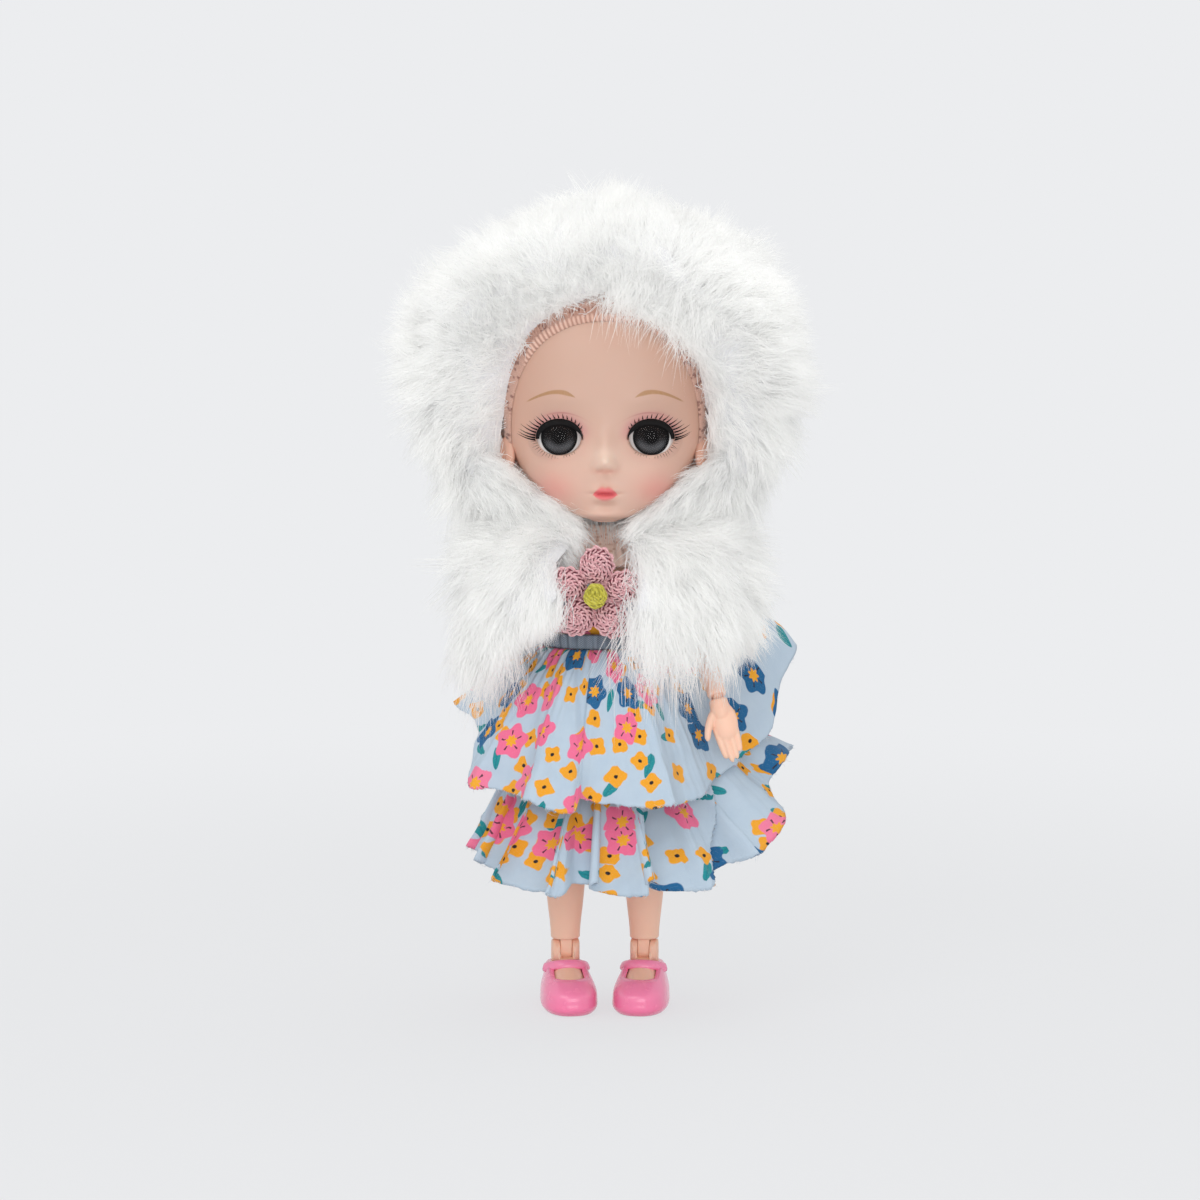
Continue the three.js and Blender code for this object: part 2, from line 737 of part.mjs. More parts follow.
function foot() {
  const inset = shoeWall + seatGap;
  const top = soleThickness + seatGap - ankleHeight;
  const body = cut(last(inset), boxBetween([-far, -far, -far], [far, far, top]));
  const column = join(
    bar(ankleRadius, [0, 0, -6], [0, 0, 0], 12),
    bar(ankleRound, [-ankleRadius, 0, 0], [ankleRadius, 0, 0], 12),
  );
  const round = keep(column, bar(ankleRadius, [0, 0, -8], [0, 0, 8], 12));
  const half = tongueWidth / 2;
  const slot = boxBetween([-half, -far, -2.4], [half, far, far]);
  const pinHole = bar(anklePin + seatGap / 2, [-far, 0, 0], [far, 0, 0]);
  return cut(join(body, round), slot, pinHole);
}

// The shoe is one moulding: a cup for the foot, an open throat and a strap in front of the ankle
function shoe() {
  const room = cut(last(shoeWall), boxBetween([-far, -far, -far], [far, far, soleThickness - ankleHeight]));
  const collar = bar(ankleRadius + seatGap, [0, 0, -8], [0, 0, 4], 12);
  const throatHeight = 12;
  const throatHalfWidth = 3.6;
  const throatHalfLength = 2.1;
  const throatAhead = 6.6;
  const throat = new THREE.CylinderGeometry(1, 1, throatHeight, 12)
    .rotateX(Math.PI / 2)
    .scale(throatHalfWidth, throatHalfLength, 1)
    .translate(0, -throatAhead, throatHeight - ankleHeight);
  const strapBack = 2.2;
  const heelDip = 1.6;
  const roof = boxBetween([-far, -strapBack, shoeHeight - heelDip - ankleHeight], [far, far, far]);
  return cut(last(0), room, collar, throat, roof);
}

// Dress: a bodice, a waistband and two gathered tiers

// A tube of cloth around the trunk between two heights
function torsoBand(low, high, inner, outer) {
  const slab = boxBetween([-far, -far, low], [far, far, high]);
  return keep(cut(torsoBody(outer), torsoBody(inner)), slab);
}

// Hems as [x, y, drop below the waist], from the front round by the doll's left, back and right sides
const upperHem = [
  [2, -30, 30.2],
  [17, -25.5, 29.8],
  [22.5, -13, 28],
  [30, -3.5, 22.5],
  [35, 2.5, 16.5],
  [39, 7, 7.5],
  [41.5, 10.5, 0.6],
  [38, 15.5, 2.5],
  [30, 22, 9],
  [12, 30.5, 18.6],
  [-8, 30.5, 18.6],
  [-16, 17.5, 17],
  [-20.8, 7.5, 16.6],
  [-31.5, -3.5, 16.2],
  [-27, -14, 27],
  [-15.5, -26.5, 29.4],
];
const lowerHem = [
  [3, -31, 47.6],
  [19, -26.5, 47.2],
  [29, -16, 44.6],
  [36.5, -3, 39.2],
  [39.5, 9, 29.6],
  [29, 22, 34.6],
  [12, 31, 38.6],
  [-9, 31.5, 39.6],
  [-24, 23, 38.6],
  [-29.5, 7, 42],
  [-27.5, -9.5, 44],
  [-17.5, -26.5, 47],
];

// The folds of a tier at an angle: broad and fine waves of uneven width, shallower where an arm hangs
function foldsOf(count, phase) {
  const bell = (value) => Math.exp(-value * value);
  const handAngle = 1.15;
  const armAngle = -2.1;
  const spread = 0.4;
  const calming = 0.6;
  return (angle) => {
    const drift = 0.7 * Math.sin(2 * angle + phase) + 0.5 * Math.sin(5 * angle + 2 * phase);
    const fine = 0.8 * Math.cos(count * angle + drift + phase);
    const broad = 0.45 * Math.cos(Math.round(count * 0.6) * angle + drift + 2 + phase);
    const near = bell((angle - handAngle) / spread) + bell((angle - armAngle) / spread);
    return (fine + broad) * (1 - calming * near);
  };
}

// A gathered tier: cloth that leaves a ring at the waist and runs out to its hem in folds
function tier(hemPoints, topGrow, ease, foldCount, foldDepth, phase) {
  const folds = foldsOf(foldCount, phase);
  const pointsPerFold = 7;
  const waist = torsoWaist(topGrow);
  const hem = new THREE.CatmullRomCurve3(hemPoints.map((p) => new THREE.Vector3(p[0], p[1], -p[2])), true);
  const shares = [0, 0.5, 1];
  const topHeight = waistHeight - clothGap / 2;
  const at = (turn, share, inward) => {
    const end = hem.getPointAt(turn);
    const angle = Math.atan2(end.x, -end.y);
    const reach = Math.hypot(end.x, end.y);
    const wave = foldDepth * folds(angle) * share ** 1.15;
    const start = waist(angle);
    const radius = start + (reach - start) * share ** ease + wave - inward;
    return new THREE.Vector3(radius * Math.sin(angle), -radius * Math.cos(angle), topHeight + end.z * share);
  };
  const rings = [];
  const count = foldCount * pointsPerFold;
  for (let i = 0; i < count; i++) {
    const outer = shares.map((share) => at(i / count, share, 0));
    const inner = shares.map((share) => at(i / count, share, clothThickness)).reverse();
    rings.push([...outer, ...inner]);
  }
  return loft(rings, true);
}

// How far the trunk reaches at the waist in a direction, with a skin of cloth on it
function torsoWaist(grow) {
  const [, halfWidth, front, back] = torsoRows[4];
  return (angle) => {
    const deep = Math.cos(angle) > 0 ? front : back;
    return 1 / Math.hypot(Math.sin(angle) / (halfWidth + grow), Math.cos(angle) / (deep + grow));
  };
}

function makeDress() {
  const group = new THREE.Group();
  const innerSkin = clothGap;
  const bandTop = waistHeight + bandHeight;
  const lowerTop = innerSkin + clothGap + clothThickness;
  const upperTop = lowerTop + clothThickness + clothGap;
  const bodiceLow = bandTop + seatGap;
  const bodiceTop = bodiceLow + bodiceHeight;
  group.add(
    mesh("bodice", torsoBand(bodiceLow, bodiceTop, innerSkin, innerSkin + clothThickness), cotton),
    mesh("waistband", torsoBand(waistHeight, bandTop, innerSkin, upperTop), bandCloth),
    mesh("upper_tier", tier(upperHem, upperTop, upperFlare, upperFoldCount, upperFoldDepth, 1), cotton),
    mesh("lower_tier", tier(lowerHem, lowerTop, lowerFlare, lowerFoldCount, lowerFoldDepth, 0.4), cotton),
  );
  return group;
}

// Cape: long pile in a back piece and two fronts, from a collar at the neck to a hem over the elbows

// Rows of [rise from the shoulder, half width, front, back] down the inside and up the outside
const capeInside = [
  [4.6, 11, 11, 10.5],
  [4, 20.6, 13.5, 12.5],
  [-1.5, 24.4, 15.5, 15],
  [-17.5, 28.4, 19.5, 22],
];
const capeOutside = [
  [-18, 32, 24, 26.5],
  [-12, 33.6, 25.6, 27.6],
  [1, 30.2, 22.4, 24.4],
  [6.4, 23.4, 17.2, 17.8],
  [6.6, 13, 12.5, 12],
];

// A piece of the cape between two angles; its hem hangs lower up to one angle and not at all past another
function capePiece(fromAngle, toAngle, hang = 0, fullTo = 0, noneFrom = 1) {
  const hemRise = -15;
  const fall = (angle) => {
    const share = (noneFrom - Math.abs(angle)) / (noneFrom - fullTo);
    return hang * THREE.MathUtils.clamp(share, 0, 1);
  };
  const steps = Math.max(4, Math.round(Math.abs(toAngle - fromAngle) / 12));
  const rows = [...capeInside, ...capeOutside].reverse();
  const rings = [];
  for (let i = 0; i <= steps; i++) {
    const degrees = fromAngle + ((toAngle - fromAngle) * i) / steps;
    const angle = THREE.MathUtils.degToRad(degrees);
    rings.push(
      rows.map(([rise, halfWidth, front, back]) => {
        const drop = rise < hemRise ? fall(degrees) : 0;
        const deep = Math.cos(angle) > 0 ? front : back;
        const radius = 1 / Math.hypot(Math.sin(angle) / halfWidth, Math.cos(angle) / deep);
        const height = shoulderHeight + rise - drop;
        return new THREE.Vector3(radius * Math.sin(angle), -radius * Math.cos(angle), height);
      }),
    );
  }
  return loft(rings);
}

function makeCape() {
  const group = new THREE.Group();
  const frontEdge = 30;
  const leftFall = [9, 40, 66];
  const rightFall = [5, 55, 100];
  const sideSeam = 132;
  const seam = 0.8;
  group.add(
    mesh("cape_front_left", capePiece(frontEdge, sideSeam - seam, ...leftFall), furPile),
    mesh("cape_front_right", capePiece(-sideSeam + seam, -frontEdge, ...rightFall), furPile),
    mesh("cape_back", capePiece(sideSeam, 360 - sideSeam), furPile),
  );
  return group;
}

// Crochet flower: five cupped petals on a ring, and a knotted centre

function makeFlower() {
  const group = new THREE.Group();
  const petals = 5;
  const bodiceFront = torsoRows[6][2] + clothGap + clothThickness;
  const place = [-flowerOffset, -bodiceFront - seatGap - petalThickness, shoulderHeight - flowerDrop];
  const petal = (i) => {
    const angle = (2 * Math.PI * (i + 0.25)) / petals;
    return ball(1, 0, 0, 0, 10)
      .scale(petalRadius * 0.86, petalThickness / 2, petalRadius)
      .translate(0, 0, flowerRadius)
      .rotateY(angle);
  };
  const heart = ball(1, 0, 0, 0, 10).scale(flowerRadius * 0.62, petalThickness, flowerRadius * 0.62);
  const knot = ball(1, 0, 0, 0, 8).scale(2.3, 1.3, 2.6);
  const body = join(heart, ...Array.from({ length: petals }, (_, i) => petal(i)));
  const knotProud = petalThickness + 0.3;
  const seat = knot.clone().scale(1.1, 1.2, 1.1).translate(0, -knotProud, 0);
  group.add(
    mesh("crochet_flower", cut(body, seat), crochetYarn),
    mesh("flower_centre", knot.translate(0, -knotProud, 0), centreYarn),
  );
  group.position.set(...place);
  return group;
}

// Key chain: a sewn tab at the back of the hood, two links and a split ring

// A closed oval wire link lying in the XZ plane, its top wire at the origin
function wireLink() {
  const straight = linkLength - linkWidth;
  const half = linkWidth / 2;
  const steps = 5;
  const points = [];
  for (let i = 0; i <= steps; i++) {
    const angle = (Math.PI * i) / steps;
    points.push([half * Math.cos(angle), -half + half * Math.sin(angle)]);
  }
  for (let i = 0; i <= steps; i++) {
    const angle = Math.PI + (Math.PI * i) / steps;
    points.push([half * Math.cos(angle), -half - straight + half * Math.sin(angle)]);
  }
  const sides = 6;
  const centre = new THREE.Vector2(0, -half - straight / 2);
  const rings = points.map(([x, z], i) => {
    const before = new THREE.Vector2(...points.at(i - 1));
    const after = new THREE.Vector2(...points[(i + 1) % points.length]);
    const along = after.sub(before).normalize();
    const out = new THREE.Vector2(along.y, -along.x);
    if (out.dot(new THREE.Vector2(x, z).sub(centre)) < 0) out.negate();
    return Array.from({ length: sides }, (_, j) => {
      const angle = (2 * Math.PI * j) / sides;
      const side = linkWire * Math.cos(angle);
      return new THREE.Vector3(x + out.x * side, linkWire * Math.sin(angle), z + out.y * side);
    });
  });
  return loft(rings, true);
}

// Two turns of hard wire, sprung together: the least gap between the turns is measured below
function splitRing() {
  const turns = 2;
  const stepsPerTurn = 24;
  const total = turns * stepsPerTurn;
  const sides = 6;
  const middle = (share) => {
    const angle = 2 * Math.PI * turns * share - Math.PI / 2;
    const y = keyRingPitch * (turns * share - turns / 2);
    return new THREE.Vector3(keyRingRadius * Math.cos(angle), y, keyRingRadius * (Math.sin(angle) - 1));
  };
  const rings = [];
  for (let i = 0; i <= total; i++) {
    const at = middle(i / total);
    const out = new THREE.Vector3(at.x, 0, at.z + keyRingRadius).normalize();
    rings.push(
      Array.from({ length: sides }, (_, j) => {
        const angle = (2 * Math.PI * j) / sides;
        return at.clone().addScaledVector(out, keyRingWire * Math.cos(angle)).add(
          new THREE.Vector3(0, keyRingWire * Math.sin(angle), 0),
        );
      }),
    );
  }
  const flat = loft(rings);
  let least = Infinity;
  for (let i = 0; i + stepsPerTurn <= total; i++) {
    const gap = middle(i / total).distanceTo(middle((i + stepsPerTurn) / total)) - 2 * keyRingWire;
    least = Math.min(least, gap);
  }
  console.log(`key ring: least gap between its turns ${least.toFixed(2)} mm`);
  return flat;
}

function makeKeyChain() {
  const chain = new THREE.Group();
  const tabRise = 41;
  const hoodBack = Math.max(...hoodRows.map(([, , , back]) => back));
  const eye = linkWire * 2 + 2;
  const tabHeight = eye + 2 * tabWall;
  chain.position.set(0, hoodBack + seatGap, neckHeight + tabRise);
  const loop = (inset) => {
    const half = tabHeight / 2 - inset;
    const shape = new THREE.Shape();
    shape.moveTo(inset, -half);
    shape.lineTo(tabReach - tabHeight / 2, -half);
    shape.absarc(tabReach - tabHeight / 2, 0, half, -Math.PI / 2, Math.PI / 2, false);
    shape.lineTo(inset, half);
    shape.closePath();
    return shape;
  };
  const outline = loop(0);
  outline.holes.push(loop(tabWall));
  const tab = new THREE.ExtrudeGeometry(outline, { depth: tabWidth, bevelEnabled: false, curveSegments: 6 });
  const turn = new THREE.Matrix4().makeBasis(
    new THREE.Vector3(0, 1, 0),
    new THREE.Vector3(0, 0, 1),
    new THREE.Vector3(1, 0, 0),
  );
  tab.applyMatrix4(turn).translate(-tabWidth / 2, 0, 0);
  const wireAt = tabReach - tabHeight / 2;
  const hang = tabHeight / 2 - tabWall - linkWire - 1.2 * linkPlay;
  const first = mesh("chain_link_upper", wireLink(), steel);
  first.position.set(0, wireAt, -hang);
  const nested = linkLength - 2 * linkWire - linkPlay;
  const second = mesh("chain_link_lower", wireLink(), steel);
  second.position.set(0, wireAt, -hang - nested);
  second.rotation.z = Math.PI / 2;
  const ring = mesh("key_ring", splitRing(), steel);
  ring.position.set(0, wireAt, -hang - 2 * nested + keyRingWire - linkWire);
  chain.add(mesh("hanging_tab", tab, knit), first, second, ring);
  return chain;
}

// The whole doll, standing on z = 0 with its origin under the middle of its box

const doll = new THREE.Group();
doll.name = "doll_keychain";
doll.add(makeHead(), makeHood(), makeTorso(), makeArm(1), makeArm(-1), makeLeg(1), makeLeg(-1));
doll.add(makeDress(), makeCape(), makeFlower(), makeKeyChain());
doll.position.y = -axisAheadOfOrigin;

export default doll;
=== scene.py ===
import math

import bpy
import numpy as np
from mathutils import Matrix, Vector


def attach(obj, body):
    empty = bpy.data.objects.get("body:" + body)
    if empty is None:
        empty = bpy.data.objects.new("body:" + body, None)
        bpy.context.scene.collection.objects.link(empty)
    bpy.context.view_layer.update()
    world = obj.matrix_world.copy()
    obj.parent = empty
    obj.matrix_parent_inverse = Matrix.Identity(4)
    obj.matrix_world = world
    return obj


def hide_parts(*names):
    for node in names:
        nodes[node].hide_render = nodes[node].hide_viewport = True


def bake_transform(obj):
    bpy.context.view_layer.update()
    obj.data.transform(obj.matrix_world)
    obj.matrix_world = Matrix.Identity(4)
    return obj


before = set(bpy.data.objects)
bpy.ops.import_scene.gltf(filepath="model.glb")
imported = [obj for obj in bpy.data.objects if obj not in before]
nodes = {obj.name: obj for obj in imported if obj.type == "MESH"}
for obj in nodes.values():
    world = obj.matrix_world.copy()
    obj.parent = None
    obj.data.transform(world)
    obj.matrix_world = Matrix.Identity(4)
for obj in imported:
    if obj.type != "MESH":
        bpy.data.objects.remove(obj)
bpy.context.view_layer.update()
print("frame loaded:", len(nodes), "nodes")

mm = 0.001
trunkAxis = np.array([0.0, -5.3, 0.0])  # pieces are drawn in mm about the trunk's axis, which stands here
dice = np.random.default_rng(20)
down = np.array([0.0, 0.0, -1.0])


# Numbers and curves

def smooth(low, high, value):
    # 0 below low, 1 above high, and an s-curve between
    t = np.clip((value - low) / (high - low), 0, 1)
    return t * t * (3 - 2 * t)


def hump(*terms):
    # a bell: e to the minus sum of the squares
    return np.exp(-sum(t * t for t in terms))


def unit(v):
    return v / np.maximum(np.linalg.norm(v, axis=-1, keepdims=True), 1e-9)


def allRound(count, start=0.0):
    # the angles of one full turn, without its end
    return np.linspace(start, start + 2 * math.pi, count, endpoint=False)


def squarish(v, power):
    # a value's size raised to a power, its sign kept
    return np.sign(v) * np.abs(v) ** power


def runAlong(points):
    # the length along a path, or down each column of a grid, at each of its points
    steps = np.linalg.norm(np.diff(points, axis=0), axis=-1)
    return np.concatenate([np.zeros_like(steps[:1]), np.cumsum(steps, 0)])


def curveThrough(knots, values, at, loop=None):
    # a cubic through the knots, each tangent taken from the neighbours on both sides; loop is its period
    knots, values, at = np.asarray(knots, float), np.asarray(values, float), np.asarray(at, float)
    if loop:
        knots = np.concatenate([knots[-3:] - loop, knots, knots[:3] + loop])
        values = np.concatenate([values[-3:], values, values[:3]])
        at = (at - knots[3]) % loop + knots[3]
    slope = np.gradient(values, knots, axis=0)
    i = np.clip(np.searchsorted(knots, at, side="right") - 1, 0, len(knots) - 2)
    step = knots[i + 1] - knots[i]
    t = np.clip((at - knots[i]) / step, 0, 1)
    if values.ndim > 1:
        t, step = t[..., None], step[..., None]
    rise = (t * t * (3 - 2 * t)) * (values[i + 1] - values[i])
    bend = step * (t * (1 - t) ** 2 * slope[i] - t * t * (1 - t) * slope[i + 1])
    return values[i] + rise + bend


def rumple(p, size, seed, octaves=2):
    # soft noise between about -1 and 1: waves of the given size in random directions, added up
    draw = np.random.default_rng(seed)
    total = np.zeros(p.shape[:-1])
    for k in range(octaves):
        ways = unit(draw.normal(size=(7, p.shape[-1]))) * (2 * math.pi * 1.9 ** k / size)
        total += sum(np.sin(p @ w + draw.uniform(0, 6.3)) for w in ways) / (2.6 * 1.8 ** k)
    return total


# Meshes

def quads(rows, cols, loopRows, loopCols):
    # a quad from each grid point to the next row and column; a looped direction runs on to its start
    r, c = np.meshgrid(np.arange(rows - (not loopRows)), np.arange(cols - (not loopCols)), indexing="ij")
    corners = [np.stack(pair, -1) for pair in ((r, c), (r, c + 1), (r + 1, c + 1), (r + 1, c))]
    places = np.stack(corners, -2).reshape(-1, 4, 2)
    return places[..., 0] % rows * cols + places[..., 1] % cols, places


def capped(rows, first, last):
    # rows of points with one more at each end, drawn together in a point
    ends = [np.broadcast_to(end, rows[:1].shape) for end in (first, last)]
    return np.concatenate([ends[0], rows, ends[1]])


class Shape:
    # the points, faces and uv corners of one piece, gathered part by part
    def __init__(self):
        self.points, self.faces, self.uv, self.count = [], [], [], 0

    def add(self, points, faces, uv=None, outward=True):
        points = np.asarray(points, float).reshape(-1, 3)
        if outward:  # turns the part the right way out, by the volume that its faces enclose
            p = points[faces[:, :3]]
            middle = points.mean(0)
            across = np.cross(p[:, 1] - p[:, 0], p[:, 2] - p[:, 0])
            if (across * (p[:, 0] - middle)).sum() < 0:
                faces = faces[:, ::-1]
                uv = None if uv is None else uv[:, ::-1]
        self.points.append(points)
        self.faces.append(faces + self.count)
        self.uv.append(np.zeros(faces.shape + (2,)) if uv is None else uv)
        self.count += len(points)
        return self

    def grid(self, points, loopRows=False, loopCols=False, uv=None, outward=True):
        # uv has one more row or column than the points where that direction loops
        rows, cols = points.shape[:2]
        faces, places = quads(rows, cols, loopRows, loopCols)
        pairs = None if uv is None else uv[places[..., 0], places[..., 1]]
        return self.add(points, faces, pairs, outward)

    def tube(self, path, radius, sides, looped=False, out=None):
        # a round section carried along a path; out turns the section, and open ends are closed
        path = np.asarray(path, float)
        radius = np.broadcast_to(np.asarray(radius, float), len(path))
        along = np.roll(path, -1, 0) - np.roll(path, 1, 0) if looped else np.gradient(path, axis=0)
        along = unit(along)
        hint = np.array([0.31, 0.17, 0.94]) if out is None else out
        first = unit(np.cross(along, np.broadcast_to(hint, along.shape)))
        second = np.cross(along, first)
        turn = allRound(sides)[None, :, None]
        ring = first[:, None] * np.cos(turn) + second[:, None] * np.sin(turn)
        points = path[:, None] + ring * radius[:, None, None]
        if not looped:
            points = capped(points, path[0], path[-1])
        return self.grid(points, loopRows=looped, loopCols=True)

    def ball(self, centre, radii, steps):
        # latitudes from pole to pole, longitudes all round
        a = np.linspace(0, math.pi, steps)[:, None]
        b = allRound(2 * steps)[None]
        points = np.stack([np.sin(a) * np.cos(b), np.sin(a) * np.sin(b), np.cos(a) + 0 * b], -1)
        return self.grid(np.asarray(centre) + points * np.asarray(radii), loopCols=True)

    def turned(self, profile, frameAt, sides):
        # [radius, height] pairs turned about an axis; frameAt is (origin, x, y, z) of that axis
        profile = np.asarray(profile, float)
        a = allRound(sides)[None]
        r, h = profile[:, :1], profile[:, 1:]
        points = np.stack([r * np.cos(a), r * np.sin(a), h + 0 * a], -1)
        return self.grid(inFrame(points, frameAt), loopCols=True)


def inFrame(points, frameAt):
    origin, x, y, z = frameAt
    return origin + points[..., :1] * x + points[..., 1:2] * y + points[..., 2:] * z


def rounded(profile, steps):
    # the same profile with more points, smoothed by a cubic through its own
    profile = np.asarray(profile, float)
    run = runAlong(profile)
    return curveThrough(run, profile, np.linspace(0, run[-1], steps * len(profile)))


def addObject(name, data):
    made = bpy.data.objects.new(name, data)
    bpy.context.scene.collection.objects.link(made)
    return made


def makePiece(name, shape, finish, body=None, stands=(), mapName=None):
    # puts a shape into a mesh object at the origin and lets it ride on its body
    mesh = bpy.data.meshes.new(name)
    points = (np.concatenate(shape.points) + trunkAxis) * mm
    corners = np.concatenate([f.ravel() for f in shape.faces]).astype(np.int32)
    sizes = np.concatenate([np.full(len(f), f.shape[1]) for f in shape.faces])
    mesh.vertices.add(len(points))
    mesh.vertices.foreach_set("co", points.astype(np.float32).ravel())
    mesh.loops.add(len(corners))
    mesh.loops.foreach_set("vertex_index", corners)
    mesh.polygons.add(len(sizes))
    mesh.polygons.foreach_set("loop_start", (np.cumsum(sizes) - sizes).astype(np.int32))
    mesh.polygons.foreach_set("use_smooth", np.ones(len(sizes), bool))
    if mapName:
        uv = np.concatenate([u.reshape(-1, 2) for u in shape.uv])
        mesh.uv_layers.new(name=mapName).data.foreach_set("uv", uv.astype(np.float32).ravel())
    mesh.update(calc_edges=True)
    mesh.validate()
    mesh.materials.append(finish)
    made = addObject(name, mesh)
    if body:
        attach(made, body)
    if stands:
        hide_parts(*stands)
    return made


def thicken(made, thickness, offset=-1):
    # gives a cloth surface its thickness in mm, inward unless offset says otherwise
    layer = made.modifiers.new("cloth", "SOLIDIFY")
    layer.thickness, layer.offset = thickness * mm, offset


# Finishes: a wire is a socket, and sums or products of wires add Math nodes

class Wire:
    def __init__(self, finish, socket):
        self.finish, self.socket = finish, socket

    def maths(self, operation, *others):
        values = {k: v for k, v in enumerate((self,) + others)}
        return self.finish.node("Math", {"operation": operation}, values)

    def swapped(self, operation, other):
        return self.finish.node("Math", {"operation": operation}, {0: other, 1: self})

    def __add__(self, other): return self.maths("ADD", other)
    def __radd__(self, other): return self.maths("ADD", other)
    def __sub__(self, other): return self.maths("SUBTRACT", other)
    def __rsub__(self, other): return self.swapped("SUBTRACT", other)
    def __mul__(self, other): return self.maths("MULTIPLY", other)
    def __rmul__(self, other): return self.maths("MULTIPLY", other)
    def __truediv__(self, other): return self.maths("DIVIDE", other)
    def __pow__(self, other): return self.maths("POWER", other)
    def __neg__(self): return self.maths("MULTIPLY", -1.0)
    def __gt__(self, other): return self.maths("GREATER_THAN", other)
    def __abs__(self): return self.maths("ABSOLUTE")
    def least(self, other): return self.maths("MINIMUM", other)
    def most(self, other): return self.maths("MAXIMUM", other)
    def sine(self): return self.maths("SINE")
    def bell(self): return (-(self * self)).maths("EXPONENT")

    def between(self, low, high, fromValue=0.0, toValue=1.0):
        # an s-curve from one value to the other as the wire goes from low to high
        settings = {"interpolation_type": "SMOOTHSTEP"}
        values = {"Value": self, "From Min": low, "From Max": high, "To Min": fromValue, "To Max": toValue}
        return self.finish.node("MapRange", settings, values)


class Finish:
    def __init__(self, name):
        self.material = bpy.data.materials.new(name)
        self.material.use_nodes = True
        self.tree = self.material.node_tree
        self.tree.nodes.clear()

    def node(self, kind, settings=None, values=None, output=0):
        made = self.tree.nodes.new("ShaderNode" + kind)
        for key, value in (settings or {}).items():
            setattr(made, key, value)
        for key, value in (values or {}).items():
            if isinstance(value, Wire):
                self.tree.links.new(value.socket, made.inputs[key])
            else:
                made.inputs[key].default_value = value
        return Wire(self, made.outputs[output]) if made.outputs else None

    def places(self):
        # the piece's own coordinates in mm, about the trunk's axis
        own = self.node("TexCoord", output=3)
        moved = self.node("VectorMath", {"operation": "SUBTRACT"}, {0: own, 1: tuple(trunkAxis * mm)})
        return self.node("VectorMath", {"operation": "SCALE"}, {0: moved, "Scale": 1 / mm})

    def split(self, vector):
        made = self.node("SeparateXYZ", None, {0: vector})
        return [Wire(self, s) for s in made.socket.node.outputs]

    def join(self, x, y, z=0.0):
        return self.node("CombineXYZ", None, {0: x, 1: y, 2: z})

    def noise(self, vector, scale, detail=2.0, roughness=0.5):
        return self.node("TexNoise", None, {"Vector": vector, "Scale": scale, "Detail": detail,
                                            "Roughness": roughness})

    def blend(self, factor, low, high):
        # from one colour to the other
        return self.node("Mix", {"data_type": "RGBA"}, {0: factor, 6: low, 7: high}, 2)

    def bump(self, height, distance, strength=1.0):
        return self.node("Bump", None, {"Height": height, "Distance": distance * mm, "Strength": strength})

    def shader(self, base, roughness, normal=None, **constants):
        # a constant such as coatWeight is set on the shader's socket Coat Weight
        spoken = {"iorLevel": "Specular IOR Level", "ior": "IOR"}
        sockets = {"Base Color": base, "Roughness": roughness}
        if normal:
            sockets["Normal"] = normal
        for key, value in constants.items():
            words = "".join(" " + c if c.isupper() else c for c in key).title()
            sockets[spoken.get(key, words)] = value
        return self.node("BsdfPrincipled", None, sockets)

    def done(self, *values, **constants):
        self.node("OutputMaterial", None, {0: self.shader(*values, **constants)})
        return self.material


def colour(red, green, blue):
    # screen values of 0 to 255 as the linear colour that a socket takes
    screen = np.array([red, green, blue]) / 255
    linear = np.where(screen <= 0.04045, screen / 12.92, ((screen + 0.055) / 1.055) ** 2.4)
    return (*[float(v) for v in linear], 1.0)


# Camera, light and stage

view = {"place": (-1.05, -700.0, 165.0), "target": (-1.05, 0.0, 87.82), "lens": 100.0, "sensor": 36.0}
light = {"world": 0.74, "key": 0.2, "fill": 0.31, "top": 0.17, "backdrop": colour(236, 237, 239),
         "floor": colour(216, 217, 219), "shadowShare": 0.22}


def aim(thing, place, target):
    thing.location = place
    thing.rotation_euler = Vector(place - target).to_track_quat("Z", "Y").to_euler()


def setCamera():
    lens = bpy.data.cameras.new("camera")
    lens.lens, lens.sensor_width = view["lens"], view["sensor"]
    lens.clip_start, lens.clip_end = 0.05, 20
    camera = addObject("camera", lens)
    aim(camera, *[(np.array(view[k]) + trunkAxis) * mm for k in ("place", "target")])
    bpy.context.scene.camera = camera


